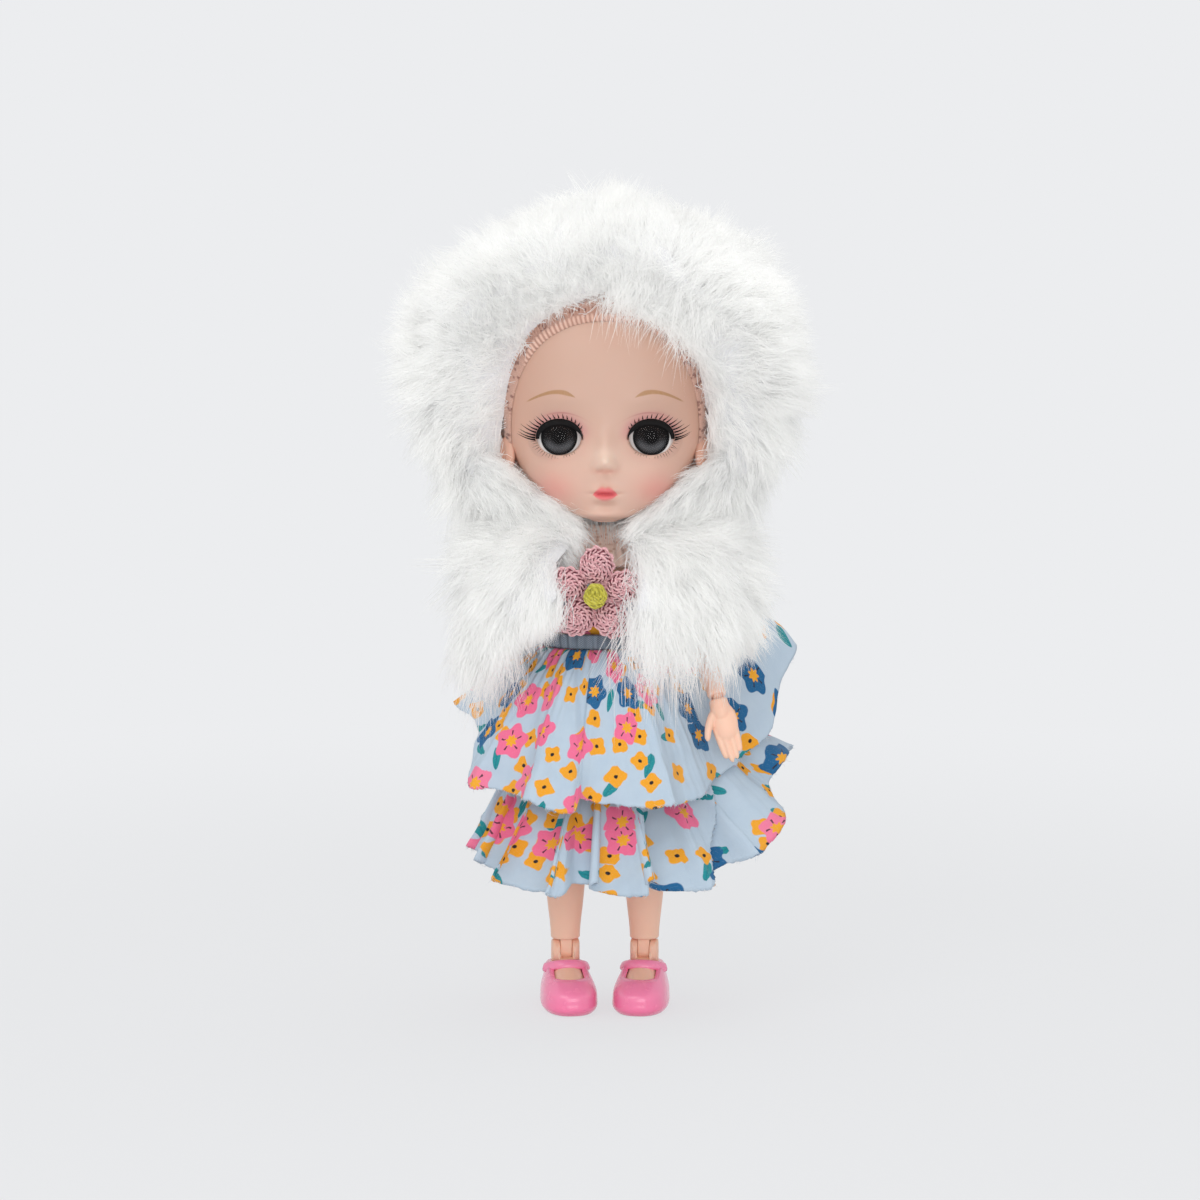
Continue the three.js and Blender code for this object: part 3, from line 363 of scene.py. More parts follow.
def setLights():
    world = bpy.data.worlds.new("studio")
    bpy.context.scene.world = world
    world.use_nodes = True
    tree = world.node_tree
    tree.nodes.clear()
    path = tree.nodes.new("ShaderNodeLightPath")
    seen = tree.nodes.new("ShaderNodeMath")
    seen.operation, seen.use_clamp = "ADD", True
    tree.links.new(path.outputs["Is Camera Ray"], seen.inputs[0])
    tree.links.new(path.outputs["Is Transmission Ray"], seen.inputs[1])
    plain, shown, either, out = [tree.nodes.new("ShaderNode" + k) for k in
                                 ("Background", "Background", "MixShader", "OutputWorld")]
    plain.inputs["Color"].default_value = (1.0, 0.998, 0.99, 1)
    plain.inputs["Strength"].default_value = light["world"]
    shown.inputs["Color"].default_value = light["backdrop"]
    tree.links.new(seen.outputs[0], either.inputs[0])
    tree.links.new(plain.outputs[0], either.inputs[1])
    tree.links.new(shown.outputs[0], either.inputs[2])
    tree.links.new(either.outputs[0], out.inputs[0])
    lamps = {"key": ((-250, -420, 520), (0, 0, 100), 420), "fill": ((80, -620, 120), (0, 0, 70), 460),
             "top": ((110, 150, 560), (0, 0, 110), 380)}
    for name, (place, target, size) in lamps.items():
        lamp = bpy.data.lights.new(name, "AREA")
        lamp.shape, lamp.size = "DISK", size * mm
        place, target = np.array(place) * mm, np.array(target) * mm
        reach = np.linalg.norm(place - target)
        lamp.energy = light[name] * math.pi ** 2 * reach ** 2  # a face turned to it takes about light[name]
        aim(addObject(name, lamp), place, target)


def setFloor():
    # a wide flat disc, most of whose colour camera rays see unlit, and the rest takes the shadow
    paint = Finish("pale floor")
    path = paint.node("LightPath")
    outputs = path.socket.node.outputs
    seen = Wire(paint, outputs["Is Camera Ray"]) + Wire(paint, outputs["Is Glossy Ray"])
    seen = (seen + Wire(paint, outputs["Is Transmission Ray"])).least(1.0)
    lit = paint.node("BsdfDiffuse", None, {"Color": light["floor"]})
    own = paint.node("Emission", None, {"Color": light["backdrop"], "Strength": 1.0})
    x, y, _ = paint.split(paint.places())
    near = ((x * x + y * y) ** 0.5).between(110.0, 420.0, light["shadowShare"], 0.0)
    share = seen * (1 - near)
    mixed = paint.node("MixShader", None, {0: share, 1: lit, 2: own})
    paint.node("OutputMaterial", None, {0: mixed})
    r = np.linspace(0, 1, 12)[:, None] ** 2 * 4000
    a = allRound(64)[None]
    disc = np.stack([r * np.cos(a), r * np.sin(a), -0.05 + 0 * r * a], -1)
    floor = makePiece("floor", Shape().grid(disc, loopCols=True, outward=False), paint.material)


setCamera()
setLights()
setFloor()
bpy.context.scene.view_settings.view_transform = "Standard"
print("camera, light and floor set")


# Finishes of the pieces

def skinFinish(name, pale, deep, painted=None):
    # matt vinyl: faint mottling in colour and gloss; painted adds make-up to the base colour
    paint = Finish(name)
    p = paint.places()
    cloudy = paint.noise(p, 0.16, 3.0)
    base = paint.blend(cloudy, pale, deep)
    if painted:
        base = painted(paint, p, base)
    grain = paint.noise(p, 5.0, 2.0)
    return paint.done(base, 0.42 + 0.12 * grain, paint.bump(grain, 0.02, 0.4),
                      subsurfaceWeight=0.18, subsurfaceRadius=(1.0, 0.45, 0.3), subsurfaceScale=0.002,
                      coatWeight=0.05, coatRoughness=0.35)


def facePaint(paint, p, base):
    # make-up by places on the face: blush, eye shadow, crease, brows and lips, with painted shade and a
    # painted highlight
    x, y, z = paint.split(p)
    side = abs(x)
    front = (-y).between(4.0, 11.0)
    blush = (((side - 11.0) / 4.2).bell() * ((z - 112.2) / 3.4).bell()) * front
    # painted shade: the forehead darker towards its top, as if under the hood
    base = paint.blend(z.between(115.0, 133.0) * 0.85, base, colour(202, 165, 147))
    base = paint.blend(blush * 0.5, base, colour(232, 138, 132))
    # a warmer, darker tone towards the face's sides
    warm = ((side / 21.5) ** 4.0).least(1.0) * 0.45
    base = paint.blend(warm, base, colour(214, 140, 108))
    # painted highlight on the nose's tip
    tip = (x / 2.5).bell() * ((z - 119.0) / 2.4).bell() * 0.62
    base = paint.blend(tip * front, base, colour(240, 215, 196))
    # painted shade under the nose, in a warm tone
    base = paint.blend((x / 2.4).bell() * ((z - 116.4) / 0.6).bell() * 0.4, base, colour(232, 150, 128))
    eyeX, eyeZ = (side - 9.45) / 5.3, (z - 123.0) / 4.5
    ring = (eyeX * eyeX + eyeZ * eyeZ) ** 0.5
    shade = ((ring - 0.94) / 0.27).bell() * eyeZ.between(-0.3, 0.5) * 0.55
    base = paint.blend(shade * front, base, colour(204, 128, 136))
    # painted shade in a faint ring round the eye's lids
    under = ((ring - 0.98) / 0.2).bell() * 0.1
    base = paint.blend(under * front, base, colour(196, 118, 112))
    arch = z - 128.3 + ((side - 9.0) / 7.2) ** 2.0 * 2.9
    crease = (arch / 0.17).bell() * ((side - 8.6) / 3.4).bell() * 0.6
    base = paint.blend(crease * front, base, colour(178, 108, 112))
    q = (side - 6.0) / 10.3
    brow = z - 131.4 - q * (6.9 - q * (11.5 - q * 3.5))
    width = 0.14 + 0.42 * (1 - q).most(0.0) ** 0.8 * q.between(0.0, 0.22)
    ends = q.between(-0.01, 0.06) * q.between(0.9, 1.02, 1.0, 0.0)
    strokes = paint.noise(paint.join(x * 3.0, z * 0.8), 1.3, 2.0)
    brow = (abs(brow) / width).between(0.62, 1.3, 1.0, 0.0) * ends * (0.66 + 0.4 * strokes)
    base = paint.blend((brow * front).least(1.0), base, colour(172, 128, 84))
    upper = 1.6 * (1 - (side / 2.7) ** 2.0).most(0.0) ** 0.9 - 0.3 * (side / 0.5).bell()
    lower = 1.5 * (1 - (side / 2.3) ** 2.0).most(0.0) ** 0.8
    mouth = 111.85 - 0.07 * side * side
    above = (z - mouth) / upper.most(0.05)
    below = (mouth - z) / lower.most(0.05)
    lips = above.most(below).between(0.55, 1.25, 1.0, 0.0) * side.between(2.2, 2.8, 1.0, 0.0) * front
    base = paint.blend(lips * 0.92, base, colour(226, 104, 110))
    line = ((z - mouth) / 0.3).bell() * (side / 2.1).between(0.6, 1.1, 1.0, 0.0) * front
    return paint.blend(line * 0.55, base, colour(196, 66, 80))


def furFinish(name, root, tip):
    # pile: each strand greys a little to its root, a painted shade deep in the pile, and strands differ
    # slightly
    paint = Finish(name)
    uv = paint.node("UVMap", {"uv_map": "OFBake"})
    u, v, _ = paint.split(uv)
    own = paint.noise(paint.join(u * 60.0, 0.0), 1.0, 0.0)
    base = paint.blend(v.between(0.0, 0.75), root, tip)
    base = paint.blend(own.between(0.35, 0.75) * 0.12, base, colour(214, 214, 218))
    hair = paint.shader(base, 0.62, iorLevel=0.25, sheenWeight=0.25, sheenRoughness=0.5)
    glow = paint.node("BsdfTranslucent", None, {"Color": tip})
    lit = paint.node("MixShader", None, {0: 0.45, 1: hair, 2: glow})
    path = paint.node("LightPath", output="Is Shadow Ray")
    clear = paint.node("BsdfTransparent", None, {"Color": (1, 1, 1, 1)})
    paint.node("OutputMaterial", None, {0: paint.node("MixShader", None, {0: path * 0.82, 1: lit, 2: clear})})
    return paint.material


def fleeceFinish():
    # the backing under the pile, cloudy white
    paint = Finish("pile backing")
    p = paint.places()
    lumps = paint.noise(p, 0.35, 4.0)
    base = paint.blend(lumps, colour(228, 228, 231), colour(247, 247, 248))
    return paint.done(base, 0.95, paint.bump(paint.noise(p, 2.2, 3.0), 0.5, 0.7))


# two copies of one vinyl: the limbs' painted lighter against the skirt's shade on the legs, the face's
# painted darker as if in the hood's shade
skin = skinFinish("doll skin", colour(252, 206, 182), colour(247, 198, 172))
faceSkin = skinFinish("painted face", colour(220, 183, 166), colour(213, 174, 156), facePaint)
pile = furFinish("white pile", colour(241, 241, 241), colour(252, 252, 251))
fleece = fleeceFinish()
print("skin and pile finishes made")


# Head

headRows = np.array([  # rise above the chin, half width, front and back reach
    [0.9, 2.8, 14.3, -7], [1.8, 6.5, 16.7, 1], [3.5, 9.9, 17.8, 6], [6.2, 13.5, 18.6, 11],
    [10.1, 17.1, 19, 15.5], [15.1, 19.9, 19.2, 18.6], [21.1, 21.2, 19, 20.4], [27.1, 21.4, 18.7, 21],
    [33.1, 20.9, 18, 20.8], [39.1, 19.2, 16.3, 19.2], [44.1, 16.3, 13.3, 16.4], [48.1, 11.8, 8.9, 12],
    [50.6, 6, 4, 6.4], [51.4, 0.6, 0, 1.4],
])
chin = 104.9
face = {"rows": 270, "cols": 250, "sweep": 106, "low": 0.75, "tall": 50.3, "eyeX": 9.45, "eyeZ": 123.2,
        "eyeDepth": 11.4, "eyeRadius": 6.0, "openWide": 4.7, "openTall": 3.75, "lid": 0.5}
ear = {"x": 20.4, "y": -5.2, "z": 119.0, "tall": 3.9}


def sectionAt(rows, base, height):
    # half width, front and back reach at a height
    return np.moveaxis(curveThrough(rows[:, 0] + base, rows[:, 1:], height), -1, 0)


def ovalPoint(angle, halfWidth, front, back, power=2.2):
    # angle 0 is the front and a quarter turn the doll's left; an oval drawn a little square
    x = halfWidth * squarish(np.sin(angle), 2 / power)
    y = (back - front) / 2 - (back + front) / 2 * squarish(np.cos(angle), 2 / power)
    return x, y


def headDepth(x, z):
    # how far in front of the axis the bare head reaches at a place seen from the front
    half, front, back = sectionAt(headRows, chin, z)
    inside = np.clip(1 - np.abs(x / half) ** 2.2, 0, 1) ** (1 / 2.2)
    return (front - back) / 2 + (front + back) / 2 * inside


def faceRelief(x, z):
    # bells for nose, lips, chin, cheeks and eye hollows, in mm of rise
    s = np.abs(x)
    rise = 2.3 * hump(x / 1.8, (z - 118.3) / 1.7) + 1.0 * hump(x / 1.9, (z - 121.8) / 3.2)
    rise += 0.5 * hump((s - 1.75) / 0.9, (z - 117.3) / 0.9) - 0.4 * hump((s - 0.95) / 0.5, (z - 116.3) / 0.4)
    rise -= 0.35 * hump(x / 0.9, (z - 114.6) / 1.1)
    rise += 1.15 * hump(x / 2.3, (z - 112.55) / 0.85) + 1.25 * hump(x / 1.9, (z - 110.75) / 0.85)
    rise -= 0.75 * hump(x / 2.7, (z - 111.75) / 0.3) + 0.6 * hump(x / 2.6, (z - 109.2) / 0.9)
    rise += 0.9 * hump(x / 4.2, (z - 107.1) / 2.0) + 0.8 * hump((s - 10.8) / 4.6, (z - 113.6) / 4.2)
    rise -= 1.7 * hump((s - 9.4) / 6.0, (z - 123.4) / 4.7)
    rise += 0.5 * hump((s - 9.5) / 5.5, (z - 131.5) / 2.6)
    return rise


def makeFace():
    # rows by height and columns by angle; the relief lies on the front, and lids wrap each eye
    t = np.linspace(0, 1, face["rows"])[:, None]
    z = chin + face["low"] + face["tall"] * t ** 1.35
    a = np.radians(np.linspace(-face["sweep"], face["sweep"], face["cols"]))[None]
    half, front, back = sectionAt(headRows, chin, z + 0 * a)
    x, y = ovalPoint(a, half, front, back)
    z = z + 0 * a
    facing = smooth(0.15, 0.6, np.cos(a))
    depth = -y + faceRelief(x, z) * facing
    dx, dz = np.abs(x) - face["eyeX"], z - face["eyeZ"]
    lidRound = (face["eyeRadius"] + face["lid"]) ** 2 - dx ** 2 - dz ** 2
    lids = face["eyeDepth"] + np.sqrt(np.maximum(lidRound, 0))
    lids = np.where(lidRound > 0, lids, 0)
    soft = 0.35
    depth = np.where(depth > 5, soft * np.logaddexp(depth / soft, lids / soft), depth)
    ring = np.hypot(dx / face["openWide"], dz / face["openTall"])
    depth -= 3.6 * smooth(1.015, 0.93, ring) * (depth > 5)
    shape = Shape().grid(np.stack([x, -depth, z], -1))
    for side in (-1, 1):  # ears: a flat oval leaning back, hollowed on its outer face
        u = np.linspace(0, math.pi, 30)[:, None]
        v = allRound(40)[None]
        px, py, pz = np.sin(u) * np.cos(v), np.sin(u) * np.sin(v), np.cos(u) + 0 * v
        flat = 1.1 * py - 0.8 * hump(px / 0.5, pz / 0.55) * (py > 0)
        points = [side * (ear["x"] + 1.25 * flat + px), ear["y"] + 2.6 * px + 0.6 * pz,
                  ear["z"] + ear["tall"] * pz]
        shape.grid(np.stack(points, -1), loopCols=True)
    makePiece("face", shape, faceSkin, "head", ["face_shell"])


makeFace()
print("face made")

# Eyes

eye = {"x": 9.3, "iris": 4.3, "print": 3.75, "pupil": 1.3, "depth": 15.585}


def eyeParts(paint):
    # distance and direction from the middle of the eye, whichever side it is on
    x, _, z = paint.split(paint.places())
    dx, dz = abs(x) - face["eyeX"], z - face["eyeZ"]
    return dx, dz, (dx * dx + dz * dz) ** 0.5


def scleraFinish():
    # white acrylic, with a painted shade that turns it a little pinker and darker to the lids
    paint = Finish("eye white acrylic")
    _, _, ring = eyeParts(paint)
    veins = paint.noise(paint.places(), 0.9, 3.0)
    base = paint.blend(ring.between(4.2, 5.6), colour(232, 229, 228), colour(204, 192, 190))
    base = paint.blend(veins * 0.1, base, colour(205, 180, 178))
    return paint.done(base, 0.12 + 0.06 * veins, coatWeight=0.6, coatRoughness=0.05)


def irisFinish():
    # charcoal print: dark above, a paler crescent below, rays from the pupil and a black rim
    paint = Finish("iris print")
    dx, dz, ring = eyeParts(paint)
    turn = dz.maths("ARCTAN2", dx)
    rays = paint.noise(paint.join(turn * 7.0, ring * 0.7), 1.6, 3.0, 0.65)
    fine = paint.noise(paint.join(turn * 16.0, ring * 1.1, 4.0), 1.5, 2.0, 0.6)
    low = (-dz).between(-0.4, 2.6)
    base = paint.blend(low, colour(14, 11, 12), colour(62, 63, 66))
    base = paint.blend(rays.between(0.36, 0.7) * 0.5, base, colour(16, 14, 16))
    flecks = fine.between(0.56, 0.74) * ((ring - 2.35) / 0.75).bell()
    base = paint.blend(flecks * 0.75, base, colour(108, 82, 74))
    glow = ((ring - 2.5) / 0.7).bell() * ((dz + 1.9) / 1.2).bell() * 0.5
    base = paint.blend(glow, base, colour(96, 98, 102))
    base = paint.blend(ring.between(eye["pupil"] - 0.2, eye["pupil"] + 0.5, 1.0, 0.0), base, colour(7, 6, 8))
    base = paint.blend(ring.between(3.0, 3.5), base, colour(10, 9, 11))
    base = paint.blend(ring.between(eye["print"] - 0.06, eye["print"] + 0.1), base, colour(226, 223, 222))
    return paint.done(base, 0.45 + 0.2 * rays, iorLevel=0.1)


def lensFinish():
    # clear acrylic: what lies behind shows, with a mirror gloss that grows to the edge
    paint = Finish("clear acrylic")
    clear = paint.node("BsdfTransparent", None, {"Color": (1, 1, 1, 1)})
    gloss = paint.node("BsdfGlossy", None, {"Color": (1, 1, 1, 1), "Roughness": 0.03})
    edge = paint.node("Fresnel", None, {"IOR": 1.25}) * 0.35
    paint.node("OutputMaterial", None, {0: paint.node("MixShader", None, {0: edge, 1: clear, 2: gloss})})
    return paint.material


def lashFinish():
    # black fibre, faintly streaked
    paint = Finish("lash fibre")
    streak = paint.noise(paint.places(), 3.0, 2.0)
    base = paint.blend(streak, colour(6, 5, 6), colour(18, 15, 16))
    return paint.done(base, 0.6 + 0.2 * streak, iorLevel=0.2)


sclera, irisPrint, clearLens, lashFibre = scleraFinish(), irisFinish(), lensFinish(), lashFinish()
lash = {"from": 0.09, "to": 1.03, "band": 1.2, "spikes": 18, "lower": 18}


def lidPoint(side, turn, out, proud):
    # a place round the eye: turn 0 is the outer corner, half a turn the inner one, and out is mm beyond
    # the opening
    dx = (face["openWide"] + out) * np.cos(turn)
    dz = (face["openTall"] + out) * np.sin(turn)
    x, z = face["eyeX"] + dx, face["eyeZ"] + dz
    lidRound = np.maximum((face["eyeRadius"] + face["lid"]) ** 2 - dx ** 2 - dz ** 2, 0)
    depth = np.maximum(face["eyeDepth"] + np.sqrt(lidRound), headDepth(x, z) + faceRelief(x, z))
    return np.stack([side * x, -depth - proud, z], -1)


def makeEye(side, tag):
    a = np.linspace(math.asin(eye["iris"] / face["eyeRadius"]), math.pi * 0.55, 20)[:, None]
    b = allRound(64)[None]
    centre = np.array([side * eye["x"], -face["eyeDepth"], face["eyeZ"]])

    def ballAt(a, r):
        return centre + r * np.stack([np.sin(a) * np.cos(b), -np.cos(a) + 0 * b, np.sin(a) * np.sin(b)], -1)

    white = Shape().grid(ballAt(a, face["eyeRadius"]), loopCols=True)
    makePiece(f"eye_white_{tag}_acrylic", white, sclera, "head", [f"eye_white_{tag}"])
    r = np.linspace(0, eye["iris"], 24)[:, None]
    dish = eye["depth"] - 0.35 * (1 - (r / eye["iris"]) ** 2)
    disc = np.stack([centre[0] + r * np.cos(b), -dish + 0 * b, centre[2] + r * np.sin(b)], -1)
    iris = Shape().grid(disc, loopCols=True, outward=False)
    makePiece(f"eye_iris_{tag}_print", iris, irisPrint, "head", [f"eye_iris_{tag}"])
    a = np.linspace(0, math.asin(eye["iris"] / face["eyeRadius"]), 20)[:, None]
    dome = Shape().grid(ballAt(a, face["eyeRadius"] + 0.02), loopCols=True)
    makePiece(f"eye_lens_{tag}_dome", dome, clearLens, "head", [f"eye_lens_{tag}"])


def hairs(shape, roots, ways, bends, lengths, widths, steps=6, sides=5):
    # tapered tubes from roots: each runs along its way and bends off by the square of the distance
    s = np.linspace(0, 1, steps)[None, :, None]
    paths = roots[:, None] + lengths[:, None, None] * (ways[:, None] * s + bends[:, None] * s * s)
    for path, width in zip(paths, widths):
        shape.tube(path, width * (1.02 - np.linspace(0, 1, steps)) ** 0.8, sides)


def makeLashes(side, tag):
    # a lined band along the upper lid, curved hairs on it, and fine short hairs below
    turn = np.pi * np.linspace(lash["from"] - 0.12, lash["to"], 60)
    share = np.linspace(0, 1, 60)
    width = lash["band"] * (0.5 + 0.5 * np.sin(np.pi * np.clip(share * 0.9 + 0.08, 0, 1)))
    width *= smooth(1.0, 0.8, share) * 0.75 + 0.25
    across = np.linspace(0, 1, 7)[:, None]
    lift = 0.16 + 0.22 * np.sin(np.pi * across)
    out = 0.12 + (across - 1) * width[None]
    top = np.stack([lidPoint(side, turn, o, l) for o, l in zip(out, lift[:, 0])])
    back = np.stack([lidPoint(side, turn, o, -0.35) for o in out[::-1]])
    shape = Shape().grid(np.concatenate([top, back]), loopRows=True)
    n = lash["spikes"]
    share = np.linspace(0, 1, n)
    turn = np.pi * (lash["from"] - 0.13 + (lash["to"] - lash["from"] - 0.05) * share ** 1.15)
    root = lidPoint(side, turn, 0.25 + 0 * turn, 0.2)
    fan = np.stack([side * np.cos(turn), 0 * turn, np.sin(turn)], -1)
    lean = np.array([side * 1.0, -0.4, 0.16])
    outer = smooth(0.75, 0.0, share)
    ways = unit(fan * 0.8 + lean * (0.35 + 0.75 * outer[:, None]) + dice.normal(0, 0.07, (n, 3)))
    bends = np.stack([side * 0.1 * outer, 0 * outer, 0.25 + 0.12 * outer], -1)
    lengths = (0.7 + 2.4 * outer) * dice.uniform(0.8, 1.15, n)
    hairs(shape, root, ways, bends, lengths, 0.15 + 0.05 * outer)
    n = lash["lower"]
    share = np.linspace(0, 1, n)
    turn = -np.pi * (0.06 + 0.66 * share)
    fan = np.stack([side * np.cos(turn), -0.35 + 0 * turn, np.sin(turn)], -1)
    lengths = (0.55 + 0.75 * smooth(0.8, 0.1, share)) * dice.uniform(0.7, 1.15, n)
    hairs(shape, lidPoint(side, turn, 0.12 + 0 * turn, 0.05), unit(fan + dice.normal(0, 0.12, (n, 3))),
          np.zeros((n, 3)), lengths, np.full(n, 0.055), 4, 4)
    makePiece(f"lashes_{tag}", shape, lashFibre, "head", [f"upper_lash_{tag}"])


for side, tag in ((1, "left"), (-1, "right")):
    makeEye(side, tag)
    makeLashes(side, tag)
print("eyes and lashes made")


# Hood: a knit lining whose ribbed edge frames the face, and long pile over a padded skin

neckHeight = 110.2
hoodRows = np.array([  # rise, half width, front and back reach
    [0, 24, 11, 20], [6, 34, 18, 27], [14, 39.4, 22.5, 31.5], [24, 41.2, 25, 34.5], [34, 41.6, 26, 35.5],
    [44, 39.8, 25.5, 34.5], [53, 34.6, 22, 30.5], [60, 26.5, 16.5, 24], [65, 16.5, 10, 16],
    [68.5, 6, 3, 7], [69.4, 1, 0, 1],
])
hood = {"middle": (0.0, 2.0, 127.0), "openHalf": 20.4, "openTop": 37.6, "pileDepth": 5.8, "rows": 96,
        "cols": 170, "edgeCols": 900, "ribs": 112, "stitches": 150, "rimRise": 2.4}


def rimCurve(share, inset=0.0):
    # the face opening seen from the front, from the right jaw over the brow to the left jaw
    half, top = hood["openHalf"] - inset, hood["openTop"] - inset
    knots = np.array([[-0.62, 0], [-0.93, 5], [-1, 12], [-0.99, 19], [-0.9, 26], [-0.66, 33], [-0.35, 36.6],
                      [0, hood["openTop"]]])
    knots = knots * [half, top / hood["openTop"]]
    points = np.concatenate([knots, knots[-2::-1] * [-1, 1]]) + [0, neckHeight]
    run = runAlong(points)
    return curveThrough(run / run[-1], points, share)


def onHead(xz, proud):
    # a place on the bare head, standing proud of it along the way out from the head's middle
    half = sectionAt(headRows, chin, xz[..., 1])[0]
    x = np.clip(xz[..., 0], -half * 0.995, half * 0.995)
    p = np.stack([x, -headDepth(x, xz[..., 1]), xz[..., 1]], -1)
    return p + unit(p - np.array(hood["middle"])) * np.asarray(proud)[..., None]


def knitFinish(name, dark, pale, hole):
    # knit: ribs across the edge, a net of small dark holes, and yarn fuzz
    paint = Finish(name)
    u, v, _ = paint.split(paint.node("UVMap", {"uv_map": "knit"}))
    rib = (u * 6.2832).sine() * 0.5 + 0.5
    holes = paint.node("TexVoronoi", None, {"Vector": paint.join(u, v * 1.3), "Scale": 1.0})
    gap = holes.between(0.2, 0.46, 1.0, 0.0)
    fuzz = paint.noise(paint.join(u * 5.0, v * 9.0), 1.0, 2.0)
    net = v.between(1.15, 1.5)
    base = paint.blend(rib * (1 - net) + fuzz * net * 0.7, dark, pale)
    base = paint.blend(gap * net * 0.85, base, hole)
    base = paint.blend(fuzz.between(0.5, 0.8) * 0.4, base, colour(238, 204, 190))
    return paint.done(base, 0.82 + 0.1 * fuzz, paint.bump(fuzz + rib * 0.6 - gap, 0.12, 0.7), sheenWeight=0.2)


roseKnit = knitFinish("rose knit", colour(182, 136, 120), colour(228, 190, 173), colour(128, 84, 74))
# the neck's knit painted paler, a painted light against the shade under the chin and fur
paleKnit = knitFinish("pale knit", colour(240, 203, 186), colour(252, 230, 217), colour(212, 166, 146))


def makeLining():
    # share runs along the opening's edge, across runs from the rolled edge back under the pile
    share = np.linspace(0.03, 0.97, hood["edgeCols"])
    profile = rounded([[1.0, 0.1], [0.93, 0.5], [0.7, 0.85], [0.38, 1.0], [0.06, 0.95], [-0.2, 0.75],
                       [-0.45, 0.68], [-0.9, 0.9], [-1.6, 1.1], [-2.6, 1.15], [-3.8, 1.1], [-5.2, 1.0]], 2)
    rolled = smooth(0.28, 0.36, share) * smooth(0.66, 0.56, share)  # the edge lies flat beside the face
    rib = 0.16 * rolled * np.cos(2 * math.pi * hood["ribs"] * share)
    rows, uv = [], []
    for inset, proud in profile:
        firm = smooth(-0.4, 0.2, np.array(inset))
        rows.append(onHead(rimCurve(share, inset), proud * (1 - 0.4 * firm * (1 - rolled)) + rib * firm))
        uv.append(np.stack([share * hood["ribs"], 1.2 - inset + 1.4 * (1 - rolled)], -1))
    shape = Shape().grid(np.stack(rows), uv=np.stack(uv), outward=False)
    count = hood["stitches"]  # overlock: small slanted threads over the seam behind the rolled edge
    for at, lean in zip(np.linspace(0.05, 0.95, count), dice.uniform(0.7, 1.3, count)):
        path = [onHead(rimCurve(at + 0.003 * lean * r, -0.3 - 1.3 * r), 1.05 + 0.3 * math.sin(math.pi * r))
                for r in np.linspace(0, 1, 6)]
        shape.tube(path, 0.11, 5)
    lining = makePiece("knit_lining", shape, roseKnit, "head", ["hood_lining"], "knit")


def bodyReach(rows, base, way, middle, far=80.0):
    # how far a body reaches from its middle along each way, by halving the interval
    low, high = np.zeros(way.shape[:-1]), np.full(way.shape[:-1], far)
    for _ in range(26):
        r = (low + high) / 2
        p = middle + way * r[..., None]
        x, y, z = np.moveaxis(p, -1, 0)
        half, front, back = sectionAt(rows, base, z)
        level = np.abs(x / half) ** 2.2 + np.abs((y - (back - front) / 2) / ((front + back) / 2)) ** 2.2
        inside = (level < 1) & (z > base + rows[0, 0]) & (z < base + rows[-1, 0])
        low, high = np.where(inside, r, low), np.where(inside, high, r)
    return (low + high) / 2


def rimTable():
    # the opening's edge as angles about the hood's middle: turn round the view's axis, and tilt from it
    xz = rimCurve(np.linspace(0, 1, 400))
    xz[:, 1] += hood["rimRise"] * np.clip((xz[:, 1] - neckHeight) / hood["openTop"], 0, 1) ** 2
    way = onHead(xz, 1.2) - np.array(hood["middle"])
    turn, tilt = np.arctan2(way[:, 0], way[:, 2]), np.arctan2(np.hypot(way[:, 0], way[:, 2]), -way[:, 1])
    order = np.argsort(turn)
    return turn[order], tilt[order]


rimTurn, rimTilt = rimTable()


def hoodSkin(turn, share, pileDepth):
    # turn goes round the view's axis from the top, share from the face's edge to the back of the head;
    # the skin leaves the head at the edge in a quarter round and then follows the hood inside its pile
    first = np.interp(turn, rimTurn, rimTilt)
    tilt = first + (math.pi - first) * share
    way = np.stack([np.sin(turn) * np.sin(tilt), -np.cos(tilt), np.cos(turn) * np.sin(tilt)], -1)
    middle = np.array(hood["middle"])
    outer = bodyReach(hoodRows, chin + 1, way, middle) - pileDepth
    inner = bodyReach(headRows, chin, way, middle) + 0.7
    roll = np.clip(share / 0.09, 0, 1)
    reach = inner + np.maximum(outer - inner, 0.5) * np.sqrt(np.clip(1 - (1 - roll) ** 2, 0, 1))
    p = middle + way * reach[..., None]
    floor = 106.6 + 0.176 * np.hypot(p[..., 0], p[..., 1] - 1.4)
    lifted = np.maximum(p[..., 2], floor)
    return np.stack([p[..., 0], p[..., 1], lifted], -1), way


def makeHoodSkin():
    turn = allRound(hood["cols"], -math.pi)[None]
    share = np.linspace(0, 1, hood["rows"])[:, None] ** 1.3
    p, way = hoodSkin(turn + 0 * share, share + 0 * turn, hood["pileDepth"])
    lumps = rumple(p, 14.0, 5, 3)[..., None] * 1.2
    shape = Shape().grid(p + way * lumps, loopCols=True)
    padding = makePiece("hood_skin", shape, fleece, "head", ["hood_fur"])


